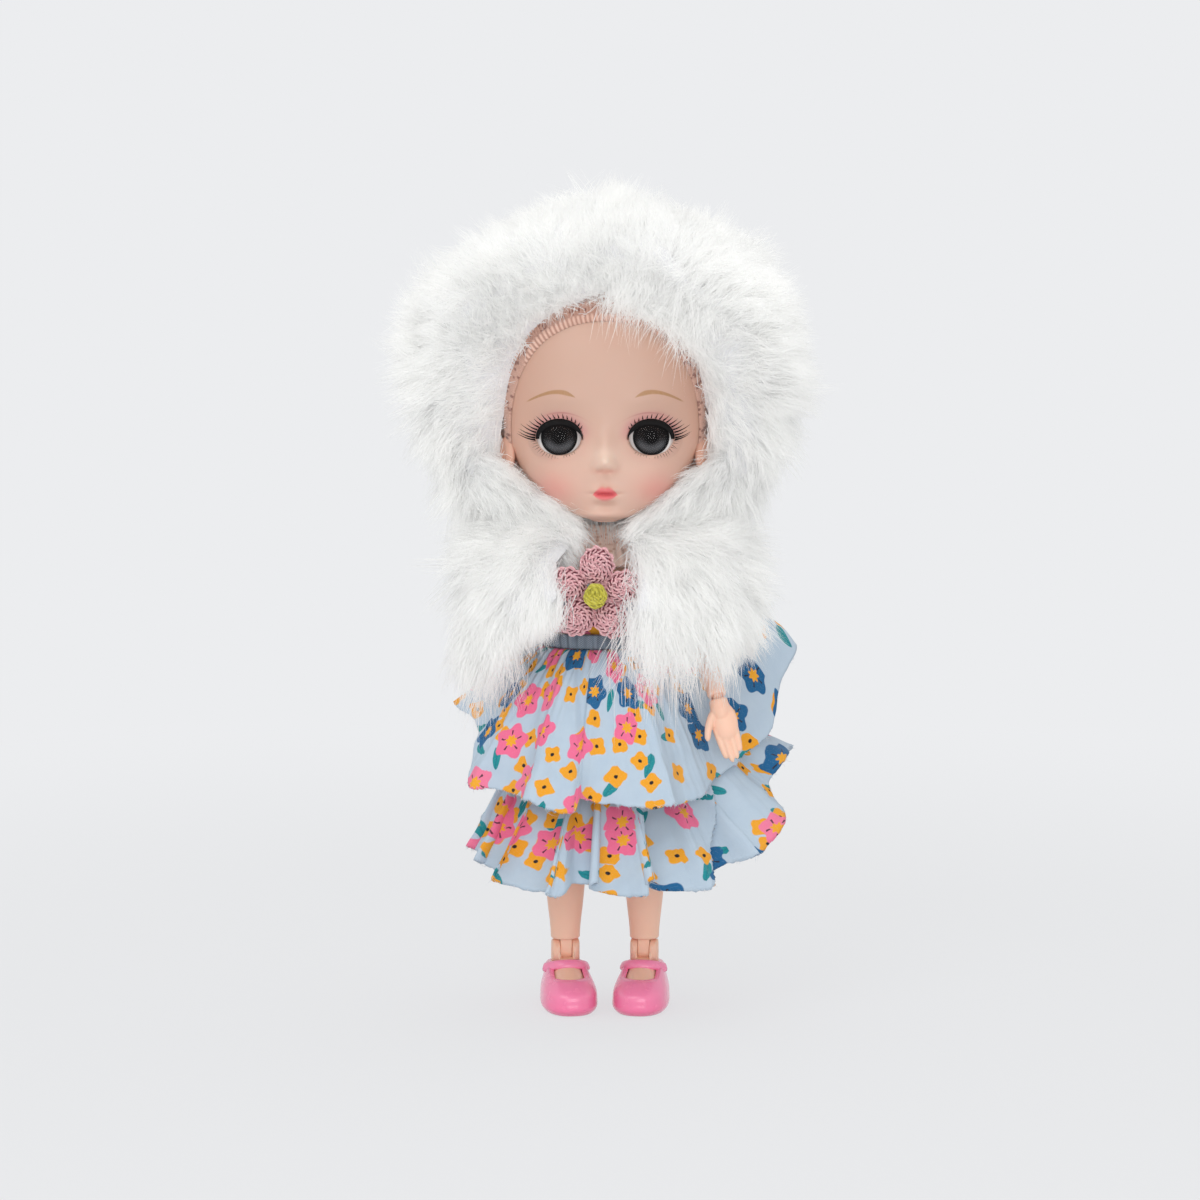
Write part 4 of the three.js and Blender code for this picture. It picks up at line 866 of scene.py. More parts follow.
def makeStrands(name, roots, ways, axes, lengths, settings, body=None):
    # ribbons of fur: roots, first ways and clump axes are given for each strand, which leaves its root along
    # its way, draws in to its clump and sags; a ribbon narrows to its tip and faces any way
    n, steps = len(roots), settings["steps"]
    s = np.linspace(0, 1, steps + 1)[None, :, None]
    sag = settings["sag"] * down
    own = ways[:, None] * s + (sag + dice.normal(0, settings["frizz"], (n, 3)))[:, None] * s * s
    path = roots[:, None] + lengths[:, None, None] * own
    pull = settings["pull"] * s ** 1.3
    path = path * (1 - pull) + (axes["root"][:, None] + axes["length"][:, None, None]
                                * (axes["way"][:, None] * s + (sag + axes["curl"])[:, None] * s * s)) * pull
    wave = dice.normal(0, settings["wave"], (n, 3))[:, None]
    path = path + wave * np.sin(s * dice.uniform(3, 8, n)[:, None, None]) * s
    along = unit(np.gradient(path, axis=1))
    flat = unit(np.cross(along, unit(axes["out"] * settings["face"] + dice.normal(size=(n, 3)))[:, None]))
    width = settings["width"] * dice.uniform(0.7, 1.3, n)[:, None, None] * (1 - 0.55 * s)
    left, right = path - flat * width / 2, path + flat * width / 2
    points = np.concatenate([np.stack([left, right], 2)[:, :-1].reshape(n, -1, 3), path[:, -1:]], 1)
    size = 2 * steps + 1
    start = (np.arange(n) * size)[:, None]
    sides = np.concatenate([start + 2 * k + np.array([[0, 1, 3, 2]]) for k in range(steps - 1)])
    tips = start + np.array([[size - 3, size - 2, size - 1]])
    u = dice.uniform(0.004, 0.996, n)
    uvLevel = np.linspace(0, 1, steps + 1)
    uvPoint = np.zeros((n, size, 2))
    uvPoint[:, :-1, 0] = u[:, None] + np.tile([-0.003, 0.003], steps)[None]
    uvPoint[:, :-1, 1] = np.repeat(uvLevel[:-1], 2)[None]
    uvPoint[:, -1] = np.stack([u, np.ones(n)], -1)
    uvPoint = uvPoint.reshape(-1, 2)
    shape = Shape()
    shape.points, shape.count = [points.reshape(-1, 3)], n * size
    shape.faces, shape.uv = [sides, tips], [uvPoint[sides], uvPoint[tips]]
    return makePiece(name, shape, pile, body, (), "OFBake")


hoodFur = {"clumps": 4700, "each": 26, "pieces": 6, "spread": 1.5, "length": 8.4, "steps": 3, "sag": 0.22,
           "frizz": 0.2, "pull": 0.72, "wave": 0.25, "face": 0.6, "width": 0.185}


def spotsOnHood(n):
    # turns and shares spread evenly over the skin: more are drawn, and some kept by the area each stands for
    turn, share = dice.uniform(-math.pi, math.pi, 4 * n), dice.uniform(0, 1, 4 * n)
    p, _ = hoodSkin(turn, share, hood["pileDepth"])
    px, _ = hoodSkin(turn + 0.004, share, hood["pileDepth"])
    py, _ = hoodSkin(turn, share + 0.002, hood["pileDepth"])
    area = np.linalg.norm(np.cross(px - p, py - p), axis=-1)
    low = p[:, 2] < 108.5 + 0.18 * np.hypot(p[:, 0], p[:, 1])
    area = np.where(low & (np.abs(turn) > 2.0), area * 0.25, area)
    keep = np.argsort(dice.uniform(size=4 * n) ** (1 / np.maximum(area, 1e-9)))[-n:]
    return turn[keep], share[keep]


def hoodWays(p, turn, share, way):
    # pile lies out from the skin, away from the face, and forward round the face's edge
    away = np.stack([np.sin(turn), 0 * turn, np.cos(turn)], -1)
    near = smooth(0.22, 0.0, share)[:, None]
    back = np.array([0.0, 0.35, 0.0])
    low = (smooth(136.0, 114.0, p[:, 2]) * smooth(0.9, 1.5, np.abs(turn)))[:, None]
    lie = way * 0.38 + away * (0.4 + 0.1 * near) + back * 1.3 * (1 - near) + np.array([0, -0.3, 0]) * near
    return unit(lie * (1 - 0.55 * low) + down * (0.2 + 0.85 * low))


def makeHoodFur():
    n, each = hoodFur["clumps"], hoodFur["each"]
    turn, share = spotsOnHood(n)
    p, way = hoodSkin(turn, share, hood["pileDepth"])
    lie = unit(hoodWays(p, turn, share, way) + dice.normal(0, 0.2, (n, 3)) + 0.3 * np.stack(
        [rumple(p, 22.0, 31 + k) for k in range(3)], -1))
    tuft = 1 + 0.2 * rumple(p, 16.0, 9) + dice.normal(0, 0.1, n)
    tuft += 0.6 * smooth(122.0, 110.0, p[:, 2])
    for at, wide, more in ((-0.95, 0.3, 0.32), (-0.3, 0.15, 0.18), (0.9, 0.3, 0.2)):  # fuller at these turns
        tuft += more * hump((turn - at) / wide)
    tuft = np.clip(tuft, 0.5, 1.5) * (0.62 + 0.38 * smooth(0.0, 0.1, share))
    curl = dice.normal(0, 0.22, (n, 3))
    who = np.repeat(np.arange(n), each)
    m = len(who)
    offset = dice.normal(0, hoodFur["spread"], (m, 3))
    offset -= (offset * way[who]).sum(-1, keepdims=True) * way[who]
    roots = p[who] + offset - way[who] * 0.8
    ways = unit(lie[who] + dice.normal(0, 0.24, (m, 3)))
    lengths = hoodFur["length"] * tuft[who] * dice.uniform(0.6, 1.12, m)
    axes = {"root": p[who], "way": lie[who], "length": hoodFur["length"] * tuft[who], "curl": curl[who],
            "out": way[who]}
    part = np.array_split(np.arange(m), hoodFur["pieces"])
    for k, some in enumerate(part):
        one = {key: v[some] for key, v in axes.items()}
        makeStrands(f"hood_pile_{k + 1}", roots[some], ways[some], one, lengths[some], hoodFur, "head")


fringe = {"steps": 3, "sag": 0.12, "frizz": 0.16, "pull": 0.55, "wave": 0.3, "face": 0.3, "width": 0.15,
          "brow": 440, "jawClumps": 230, "jaw": [((-24.0, -5.5, 118.5), (-5.0, -12.5, 105.0)),
                                                 ((22.5, -5.5, 118.5), (6.0, -12.5, 105.4))]}


def makeFringe():
    # loose strands from the opening's edge that fall over the brow, close to the head: share along the edge,
    # clumps, strands in a clump, length, how much each falls rather than runs inward, and how far outside
    # the edge it grows
    bands = [(0.5, 0.62, 40, 7, 6.5, 0.9, 1.0), (0.56, 0.86, 240, 12, 7.2, 0.5, 1.0),
             (0.3, 0.5, 26, 4, 4.2, 0.8, 1.0), (0.1, 0.32, 60, 6, 4.5, 0.6, 1.0),
             (0.08, 0.24, 70, 9, 3.6, 0.5, 2.2), (0.78, 0.92, 60, 9, 3.6, 0.5, 2.2)]
    grown = []
    for low, high, clumps, each, length, fall, outside in bands:
        share = dice.uniform(low, high, clumps)
        proud = dice.uniform(1.2, 2.8, clumps) + 0.35 * outside
        root = onHead(rimCurve(share, -outside) + dice.normal(0, 0.7, (clumps, 2)), proud)
        out = unit(root - np.array(hood["middle"]))
        inward = unit(np.array([0, root[:, 1].mean(), 124.0]) - root)
        way = unit(inward * (1 - fall) + down * fall + dice.normal(0, 0.28, (clumps, 3)))
        way = unit(way - (way * out).sum(-1, keepdims=True) * out + out * 0.2)
        grown.append((root, way, out, each, length))
    turn, share = dice.uniform(-0.8, 0.8, fringe["brow"]), dice.uniform(0.004, 0.05, fringe["brow"])
    root, out = hoodSkin(turn, share, hood["pileDepth"])
    way = down * 0.9 + np.array([0, -0.3, 0]) + out * 0.25 + dice.normal(0, 0.25, root.shape)
    way = unit(way + np.array([-0.4, 0, 0]) * smooth(0.05, 0.3, turn)[:, None])
    # longer on the doll's left
    for low, high, each, length in ((-1, 0.1, 16, 4.2), (0.1, 1, 6, 5.0), (0.04, 1, 6, 11.5)):
        some = (turn > low) & (turn <= high)
        grown.append((root[some], way[some], out[some], each, length))
    # along each jaw the fur runs to the chin and closes over the face's edge
    for start, end in fringe["jaw"]:
        clumps = fringe["jawClumps"]
        start, end = np.array(start), np.array(end)
        along = unit(end - start)
        outward = np.array([along[1], 0, -along[0]]) * np.sign(-start[0])
        t = dice.uniform(-0.08, 0.95, clumps)[:, None]
        off = dice.uniform(0, 1, clumps)[:, None] ** 1.3
        root = start + (end - start) * t + outward * (0.2 + 11 * off) + np.array([0, 3.0, 0]) * off
        root[:, 1] -= dice.uniform(0, 3, clumps)
        way = along * 0.85 - outward * 0.3 * (1 - off) + down * 0.5 * off + np.array([0, -0.35, 0])
        way = unit(way + dice.normal(0, 0.2, (clumps, 3)))
        grown.append((root, way, np.array([0, -1.0, 0]) + 0 * root, 22, 7.5))
    strands = []
    for root, way, out, each, length in grown:
        who = np.repeat(np.arange(len(root)), each)
        strands.append((root[who] + dice.normal(0, 0.6, (len(who), 3)),
                        unit(way[who] + dice.normal(0, 0.16, (len(who), 3))),
                        length * dice.uniform(0.55, 1.15, len(who)), root[who], way[who], out[who]))
    roots, ways, longs, heads, lies, outs = [np.concatenate(v) for v in zip(*strands)]
    axes = {"root": heads, "way": lies, "length": longs, "curl": 0.15 * np.sin(heads * 1.7), "out": outs}
    makeStrands("hood_fringe", roots, ways, axes, longs, fringe, "head")


makeLining()
makeHoodSkin()
makeHoodFur()
makeFringe()
print("hood made")

# Cape: a padded skin in a back and two fronts, with long pile that falls over the skirt

shoulderHeight = 97.0
# rise from the shoulder, half width, front and back reach: down the outside and back up the inside
capeProfile = np.array([
    [5.4, 10.6, 10.6, 10], [6.4, 14, 12.6, 12], [5.2, 20.5, 15, 14.6], [1, 26, 18.6, 18.6],
    [-6, 28.6, 21, 21.6], [-13, 30, 22.8, 24], [-17.2, 30.3, 23.2, 24.6], [-17.9, 29.6, 22.2, 23.6],
    [-12, 27.4, 19.8, 20.6], [-1.5, 24.8, 16.2, 15.8], [4, 20, 13.4, 12.8], [4.9, 12, 11.2, 10.6],
])
outsideRows = 7
cape = {"edges": {1: [28, 24, 16], -1: [26, 39, 24]}, "sideSeam": 132, "rows": 70, "cols": 90,
        "lift": {1: ([0, 45, 58, 70, 88, 105, 125], [9, 8, 4.5, 5, 8.5, 8.5, 0]),
                 -1: ([25, 42, 50, 62], [11, 9, 4, 0])},
        "long": {1: ([15, 40, 55, 70, 85, 125], [1.75, 1.6, 1.2, 0.7, 0.55, 0.76]),
                 -1: ([30, 42, 52, 66, 90, 130], [0.45, 0.6, 1.35, 0.85, 0.6, 0.72])}}
capeFur = {"clumps": 880, "each": 24, "spread": 1.6, "length": 11.0, "steps": 3, "sag": 0.45, "frizz": 0.2,
           "pull": 0.7, "wave": 0.3, "face": 0.6, "width": 0.185}


def bySide(angle, table):
    # a value for each angle from the front, from the left's table or the right's
    turn = np.degrees(np.arccos(np.cos(angle)))
    return np.where(np.sin(angle) > 0, np.interp(turn, *table[1]), np.interp(turn, *table[-1]))


def capePoint(angle, row):
    # angle from the front round by the doll's left, row along the profile; the hem is lifted by angle
    rise, half, front, back = np.moveaxis(curveThrough(np.arange(len(capeProfile)), capeProfile, row), -1, 0)
    rise = rise + bySide(angle, cape["lift"]) * np.clip((6.4 - rise) / 24.3, 0, 1)
    deep = np.where(np.cos(angle) > 0, front, back)
    r = 1 / np.hypot(np.sin(angle) / half, np.cos(angle) / deep)
    return np.stack([r * np.sin(angle), -r * np.cos(angle), shoulderHeight + rise], -1)


def makeCape(tag, side):
    # share runs from the front edge, whose angle changes down the rows, to the side seam, or across the back
    seam = math.radians(cape["sideSeam"])

    def angleAt(share, row):
        if not side:
            return seam + 2 * (math.pi - seam) * share
        edge = np.radians(np.interp(row, [0, 3, 6], cape["edges"][side]))
        return side * (edge + (seam - edge) * share)

    share = np.linspace(0, 1, cape["cols"])[None]
    row = np.linspace(0, len(capeProfile) - 1, cape["rows"])[:, None]
    height = np.minimum(row, len(capeProfile) - row)
    p = capePoint(angleAt(share, height) + 0 * row, row + 0 * share)
    p = p + unit(p - [0, 0, 85]) * rumple(p, 13.0, 17)[..., None] * 0.5
    ends = [np.repeat(p[:, k].mean(0)[None, None], len(row), 0) for k in (0, -1)]
    shape = Shape().grid(np.concatenate([ends[0], p, ends[1]], 1), loopRows=True)
    backing = makePiece(f"cape_{tag}_skin", shape, fleece, None, [f"cape_{tag}"])
    n, each = capeFur["clumps"], capeFur["each"]
    row = (outsideRows - 0.9) * dice.uniform(0, 1, n) ** 0.8
    angle = angleAt(dice.uniform(0, 1, n) ** (1.25 if side else 1), row)
    root = capePoint(angle, row)
    out = unit(np.cross(capePoint(angle + 0.01, row) - root, capePoint(angle, row + 0.05) - root))
    out *= np.sign((out * (root - [0, 0, 80])).sum(-1, keepdims=True))
    fall = unit(capePoint(angle, row + 0.1) - root)
    part = np.stack([np.cos(angle), np.sin(angle), 0 * angle], -1) * np.sign(np.sin(angle))[:, None]
    front = smooth(0.55, 0.95, np.cos(angle))
    lower = smooth(2.6, 6.0, row)
    stray = 0.2 - 0.85 * front * (dice.uniform(0, 1, n) > 0.7)  # some in front run back over the flower
    spread = np.sin(angle) ** 2 * smooth(4.2, 2.2, row)  # on the shoulders the pile stands out to the sides
    aside = np.stack([np.sign(np.sin(angle)), 0 * angle, 0.7 + 0 * angle], -1)
    waves = 0.25 * np.stack([rumple(root, 20.0, 61 + k) for k in range(3)], -1)
    lie = unit(fall * (0.85 - 0.55 * spread)[:, None] + out * (0.34 - 0.28 * lower)[:, None]
               + aside * (0.75 * spread)[:, None] + part * (stray * (1 - 0.4 * lower))[:, None]
               + dice.normal(0, 0.2, (n, 3)) + waves)
    longer = bySide(angle, cape["long"]) - 0.76
    # wisps reach beyond the hem's bulk
    longer *= np.where((longer > 0) & (dice.uniform(0, 1, n) > 0.4), 0.35, 1.0)
    tuft = 0.76 + longer * lower + 0.35 * spread
    tuft = tuft * np.clip(1 + 0.18 * rumple(root, 14.0, 44), 0.75, 1.2) + dice.normal(0, 0.05, n)
    who = np.repeat(np.arange(n), each)
    m = len(who)
    offset = dice.normal(0, capeFur["spread"], (m, 3))
    offset -= (offset * out[who]).sum(-1, keepdims=True) * out[who]
    axes = {"root": root[who], "way": lie[who], "length": capeFur["length"] * tuft[who],
            "curl": dice.normal(0, 0.25, (n, 3))[who], "out": out[who]}
    ways = unit(lie[who] + dice.normal(0, 0.24, (m, 3)))
    lengths = capeFur["length"] * tuft[who] * dice.uniform(0.6, 1.15, m)
    fur = makeStrands(f"cape_{tag}_pile", root[who] + offset - out[who] * 0.6, ways, axes, lengths, capeFur)
    for made in (backing, fur):
        if side:
            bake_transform(made)
        else:
            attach(made, "trunk")


makeCape("front_left", 1)
makeCape("front_right", -1)
makeCape("back", 0)
print("cape made")


# Dress: a bodice, a gathered waistband and two ruffled tiers of printed cotton

torsoRows = np.array([  # rise above the hips, half width, front and back reach
    [-0.7, 9.4, 6.4, 7.4], [2, 12, 7.6, 9], [5.5, 13, 8, 9.4], [9, 12.6, 7.8, 8.6], [14, 10.8, 7.2, 7],
    [19.3, 11.2, 7.6, 6.8], [25.5, 12.6, 8.2, 7], [31, 13.2, 7.6, 7], [34.5, 12.4, 6.5, 6.8],
    [37.3, 9, 5.2, 6.3], [39.3, 5.6, 4, 6.4], [41.2, 5, 3.6, 6.4],
])
hipHeight, waistHeight = 62.5, 78.7
upperHem = np.array([  # x, y and drop below the waist, round from the front by the doll's left
    [2, -30, 30.2], [17, -25.5, 29.8], [22.5, -13, 28], [30, -3.5, 22.5], [35, 2.5, 16.5], [39, 7, 7.5],
    [42.6, 10.5, 1.9], [38, 15.5, 2.5], [30, 22, 9], [12, 30.5, 18.6], [-8, 30.5, 18.6], [-16, 17.5, 17],
    [-20.8, 7.5, 16.6], [-31.8, 0.5, 12.8], [-27.5, -6.5, 18.5], [-28.2, -11.5, 27], [-22, -19.5, 28],
    [-15.5, -26.5, 29.4],
])
lowerHem = np.array([
    [3, -31, 47.6], [19, -26.5, 47.2], [29, -16, 44.6], [39.2, -7, 35.7], [32.6, 0, 30.6], [41, 7.2, 23.6],
    [29, 22, 34.6], [12, 31, 38.6], [-9, 31.5, 39.6], [-24, 23, 38.6], [-27.3, 7, 43], [-26.2, -9.5, 45],
    [-17.5, -26.5, 47],
])
dress = {"rows": 66, "cols": 540, "thick": 0.4, "threads": 520, "bandRows": 12, "bandCols": 400,
         "bandRun": 72}
tiers = {
    "upper": {"hem": upperHem, "grow": 3.2, "ease": 0.85, "seed": 6, "folds": 12, "deep": 1.9, "phase": 1.0,
              "pleats": [-6.0], "pleatDeep": 3.0, "puff": 5.5},
    "lower": {"hem": lowerHem, "grow": 1.8, "ease": 1.6, "seed": 8, "folds": 16, "deep": 2.7, "phase": 0.4,
              "pleats": [-7.0, 6.7, 22.5], "pleatDeep": 4.0, "puff": 0.0},
}


def printFinish(name):
    # printed cotton: round blossoms, small florets and leaves scattered by cells, on a woven pale ground
    paint = Finish(name)
    uv = paint.node("UVMap", {"uv_map": "cloth"})

    def motifs(size, seed, still=0.75):
        # for each place: the way to its cell's middle in mm, its angle and length, and the cell's three draws
        at = paint.node("VectorMath", {"operation": "ADD"}, {0: uv, 1: (seed, seed * 1.7, 0)})
        cells = paint.node("TexVoronoi", {"voronoi_dimensions": "2D"},
                           {"Vector": at, "Scale": 1 / size, "Randomness": still}, 2)
        outputs = cells.socket.node.outputs
        draws = paint.split(Wire(paint, outputs["Color"]))
        middle = Wire(paint, outputs["Position"])
        x, y, _ = paint.split(paint.node("VectorMath", {"operation": "SUBTRACT"}, {0: at, 1: middle}))
        return x, y, y.maths("ARCTAN2", x), (x * x + y * y) ** 0.5, draws

    weaveX, weaveY, _ = paint.split(uv)
    weave = (weaveX * 21.0).sine() * (weaveY * 21.0).sine()
    slub = paint.noise(uv, 0.22, 3.0)
    base = paint.blend(slub, colour(177, 196, 214), colour(193, 209, 223))
    x, y, _, _, draws = motifs(7.6, 3.0)
    lean = draws[1] * 6.2832
    along, across = x * lean.maths("COSINE") + y * lean.sine(), y * lean.maths("COSINE") - x * lean.sine()
    leaf = (along / 2.7) ** 2.0 + (across / (0.95 - 0.12 * along).most(0.3)) ** 2.0
    leaf = leaf.between(0.86, 1.1, 1.0, 0.0) * (draws[0] > 0.56)
    base = paint.blend(leaf, base, colour(22, 140, 148))
    vein = (across / 0.12).bell() * leaf * 0.5
    base = paint.blend(vein, base, colour(12, 96, 116))
    _, _, turn, reach, draws = motifs(5.4, 11.0)
    edge = 1.75 + 0.3 * (turn * 4.0 + draws[2] * 6.0).sine() + 0.35 * draws[1]
    floret = (reach / edge).between(0.93, 1.06, 1.0, 0.0) * (draws[0] > 0.48)
    base = paint.blend(floret, base, colour(240, 164, 34))
    base = paint.blend(reach.between(0.32, 0.48, 1.0, 0.0) * (draws[0] > 0.48), base, colour(30, 24, 28))
    _, _, turn, reach, draws = motifs(11.2, 23.0, 0.85)
    edge = 3.3 + 0.5 * (turn * 5.0 + draws[2] * 6.0).sine() + 0.6 * draws[1]
    here = draws[0] > 0.3
    blossom = (reach / edge).between(0.96, 1.03, 1.0, 0.0) * here
    petal = paint.blend(draws[0] > 0.82, colour(241, 112, 152), colour(24, 98, 148))
    petal = paint.blend(draws[0].between(0.3, 0.46, 0.25, 0.0), petal, colour(246, 170, 192))
    base = paint.blend(blossom, base, petal)
    heart = (reach / (1.15 + 0.25 * (turn * 7.0).sine())).between(0.9, 1.1, 1.0, 0.0) * here
    base = paint.blend(heart, base, colour(242, 170, 40))
    rays = ((turn * 5.0 + draws[2] * 6.0 + 1.5708).sine()).between(0.86, 0.97) * reach.between(1.3, 1.5)
    rays = rays * reach.between(2.3, 2.5, 1.0, 0.0) * here
    base = paint.blend(rays * 0.9, base, colour(40, 26, 36))
    worn = paint.noise(uv, 3.0, 2.0)
    base = paint.blend(worn.between(0.5, 0.9) * 0.16, base, colour(214, 224, 234))
    relief = paint.bump(weave * 0.5 + worn * 0.5, 0.05, 0.6)
    return paint.done(base, 0.86 + 0.1 * worn, relief, sheenWeight=0.12)


cotton = printFinish("printed cotton")


def waistReach(angle, grow):
    half, front, back = torsoRows[4, 1:]
    deep = np.where(np.cos(angle) > 0, front, back) + grow
    return 1 / np.hypot(np.sin(angle) / (half + grow), np.cos(angle) / deep)


def makeTier(tag):
    # angle goes round from the front by the doll's left, share from the waist to the hem; the reach grows by
    # a power of share, folds of several sizes deepen with it and lean sideways, and pleats hang in front
    one = tiers[tag]
    name, hem, seed, phase = f"{tag}_tier_cotton", one["hem"], one["seed"], one["phase"]
    turns = np.arctan2(hem[:, 0], -hem[:, 1]) % (2 * math.pi)
    order = np.argsort(turns)
    angle = allRound(dress["cols"], -math.pi)
    far = np.hypot(hem[:, 0], hem[:, 1])[order]
    reach, drop = [curveThrough(turns[order], v, angle, 2 * math.pi) for v in (far, hem[order, 2])]
    draw = np.random.default_rng(seed)
    drift = 0.7 * np.sin(2 * angle + phase) + 0.5 * np.sin(5 * angle + 2 * phase) + phase
    many = one["folds"]
    waves = [(many, 0.8, drift), (round(many * 0.6), 0.45, drift + 2), (round(many * 1.7), 0.25, 2 * drift)]
    folds = sum(a * np.cos(k * angle + shift) for k, a, shift in waves)
    lean = -sum(a * np.sin(k * angle + shift) for k, a, shift in waves)
    calm = 1 - 0.6 * hump((angle - 1.15) / 0.4) - 0.6 * hump((angle + 2.1) / 0.4)  # the arms hang here
    edge = 0.2 * np.cos(33 * angle + 1) * np.cos(13 * angle) + draw.normal(0, 0.08, len(angle))
    share = np.linspace(0, 1, dress["rows"])[:, None]
    start = waistReach(angle, one["grow"]) + 0.25 * np.cos(58 * angle)
    r = start + (reach - 0.4 - start) * share ** one["ease"]
    deep = one["deep"] * calm * share ** 1.15
    sink, tuck = 0 * r, 0 * r
    for at in one["pleats"]:  # right of its edge a pleat's cloth lies deeper and ends higher
        gap = (angle - np.arcsin(np.clip(at / r, -1, 1)) + math.pi) % (2 * math.pi) - math.pi
        under = smooth(0.5, 0.02, gap) * smooth(-0.012, 0.012, gap)
        over = hump((gap + 0.1) / 0.12)
        sink = sink + one["pleatDeep"] * under - 0.6 * over
        tuck = tuck + 1.6 * under - 0.8 * over
    r = r + deep * folds - sink * share ** 0.6
    turned = angle + deep * lean / np.maximum(r, 12)
    # the flap that the hand pushes out
    puff = one["puff"] * hump((angle - 1.82) / 0.2) * np.sin(math.pi * share ** 2)
    z = waistHeight - 0.25 - (drop + edge * 1.2 - tuck) * share + 0.35 * deep * folds * share + puff
    out = np.stack([np.sin(turned), -np.cos(turned), 0 * turned], -1)
    p = out * r[..., None] + np.stack([0 * r, 0 * r, z], -1)
    p = p + 0.22 * rumple(p, 8.0, seed)[..., None] * share[..., None] * out
    ring = np.concatenate([p, p[:, :1]], 1)
    run = runAlong(ring[dress["rows"] * 2 // 3])
    length = runAlong(p)
    length = sum(np.roll(length, k, 1) for k in range(-4, 5)) / 9  # evened, so that the hem cuts the print
    length = np.concatenate([length, length[:, :1]], 1)
    uv = np.stack([np.broadcast_to(run, length.shape) + seed * 31.0, length], -1)
    shape = Shape().grid(p, loopCols=True, uv=uv)
    tier = makePiece(name, shape, cotton, "trunk", [f"{tag}_tier"], "cloth")
    thicken(tier, dress["thick"])
    n = dress["threads"]  # frayed along the raw edge
    who = draw.integers(0, dress["cols"], n)
    fray = Shape()
    ways = unit(np.stack([draw.normal(0, 0.7, n), draw.normal(0, 0.7, n), -draw.uniform(0.2, 1.1, n)], -1))
    hairs(fray, p[-1, who] + [0, 0, 0.1], ways, draw.normal(0, 0.35, (n, 3)), draw.gamma(2.0, 0.28, n) + 0.15,
          np.full(n, 0.055), 4, 3)
    threads = makePiece(name + "_fray", fray, threadWhite, "trunk", ())


def threadFinish():
    # white cotton thread, softly mottled in colour, gloss and relief
    paint = Finish("frayed thread")
    cloud = paint.noise(paint.places(), 0.5, 3.0)
    base = paint.blend(cloud, colour(205, 216, 228), colour(236, 240, 244))
    return paint.done(base, 0.85 + 0.12 * cloud, paint.bump(cloud, 0.05, 0.5))


threadWhite = threadFinish()
for tag in tiers:
    makeTier(tag)


def bandFinish():
    # grey-blue voile, gathered: fine upright creases darkened by painted shade, and a loose net of threads
    paint = Finish("gathered voile")
    u, v, _ = paint.split(paint.node("UVMap", {"uv_map": "cloth"}))
    net = (u * 14.0).sine() * (v * 14.0).sine()
    crease = paint.noise(paint.join(u * 1.4, v * 0.1), 1.0, 3.0)
    # painted shade in the creases
    base = paint.blend(crease, colour(88, 98, 112), colour(150, 164, 178))
    base = paint.blend(net.between(0.2, 0.9) * 0.5, base, colour(186, 200, 212))
    return paint.done(base, 0.9, paint.bump(crease + net * 0.2, 0.2, 0.8))


voile = bandFinish()


def torsoTube(name, node, low, high, proud, gathers, deep, finish):
    # cloth round the trunk between two heights, standing proud of it, with fine gathers
    angle = allRound(dress["bandCols"])[None]
    z = np.linspace(low, high, dress["bandRows"])[:, None]
    half, front, back = sectionAt(torsoRows, hipHeight, z + 0 * angle)
    share = (z - low) / (high - low)
    wave = deep * np.cos(gathers * angle + 1.5 * np.sin(5 * angle)) * (0.4 + 0.6 * np.sin(math.pi * share))
    grow = proud + wave + deep * 0.8 * np.sin(math.pi * share)
    x, y = ovalPoint(angle, half + grow, front + grow, back + grow)
    p = np.stack([x, y, z + 0 * angle], -1)
    run = np.linspace(0, dress["bandRun"], dress["bandCols"] + 1)
    uv = np.stack([run[None] + 0 * z, z - low + 0 * run[None]], -1)
    band = makePiece(name, Shape().grid(p, loopCols=True, uv=uv), finish, "trunk", [node], "cloth")
    thicken(band, dress["thick"])
    return band


bodice = torsoTube("bodice_cotton", "bodice", 81.6, 92.2, 1.3, 34, 0.1, cotton)
torsoTube("waistband_voile", "waistband", 78.5, 81.5, 2.4, 46, 0.3, voile)
print("dress made")


# Crochet flower

flower = {"middle": (-2.0, -17.4, 90.8), "petals": 5, "reach": 6.0, "wide": 3.3, "long": 3.8,
          "yarn": 0.36, "dome": 2.3}


def yarnFinish(name, dark, pale):
    # twisted yarn: slanting plies and stray fibre
    paint = Finish(name)
    p = paint.places()
    twist = {"Vector": p, "Scale": 0.55, "Distortion": 2.0}
    ply = paint.node("TexWave", {"bands_direction": "DIAGONAL"}, twist, 1)
    fuzz = paint.noise(p, 2.2, 3.0)
    base = paint.blend((ply * 0.5 + fuzz * 0.5).least(1.0), dark, pale)
    return paint.done(base, 0.85, paint.bump(ply + fuzz, 0.12, 0.8), sheenWeight=0.3)


dustyPink = yarnFinish("dusty pink yarn", colour(214, 146, 156), colour(252, 212, 214))
# a dark sheet under the petals: painted shade for their holes
holeShadePink = yarnFinish("shaded pink yarn", colour(128, 62, 76), colour(176, 100, 112))
limeYarn = yarnFinish("lime yarn", colour(160, 150, 30), colour(226, 218, 92))


def plied(shape, path, yarn, looped=False, twist=1.5):
    # two plies wound round a path: each a thin tube set off from it, half a turn apart
    along = unit(np.roll(path, -1, 0) - np.roll(path, 1, 0) if looped else np.gradient(path, axis=0))
    first = unit(np.cross(along, [0.2, 0.9, 0.3]))
    second = np.cross(along, first)
    run = runAlong(path)
    for phase in (0, math.pi):
        a = (run * twist + phase)[:, None]
        shape.tube(path + yarn * 0.5 * (first * np.cos(a) + second * np.sin(a)), yarn * 0.62, 6, looped)


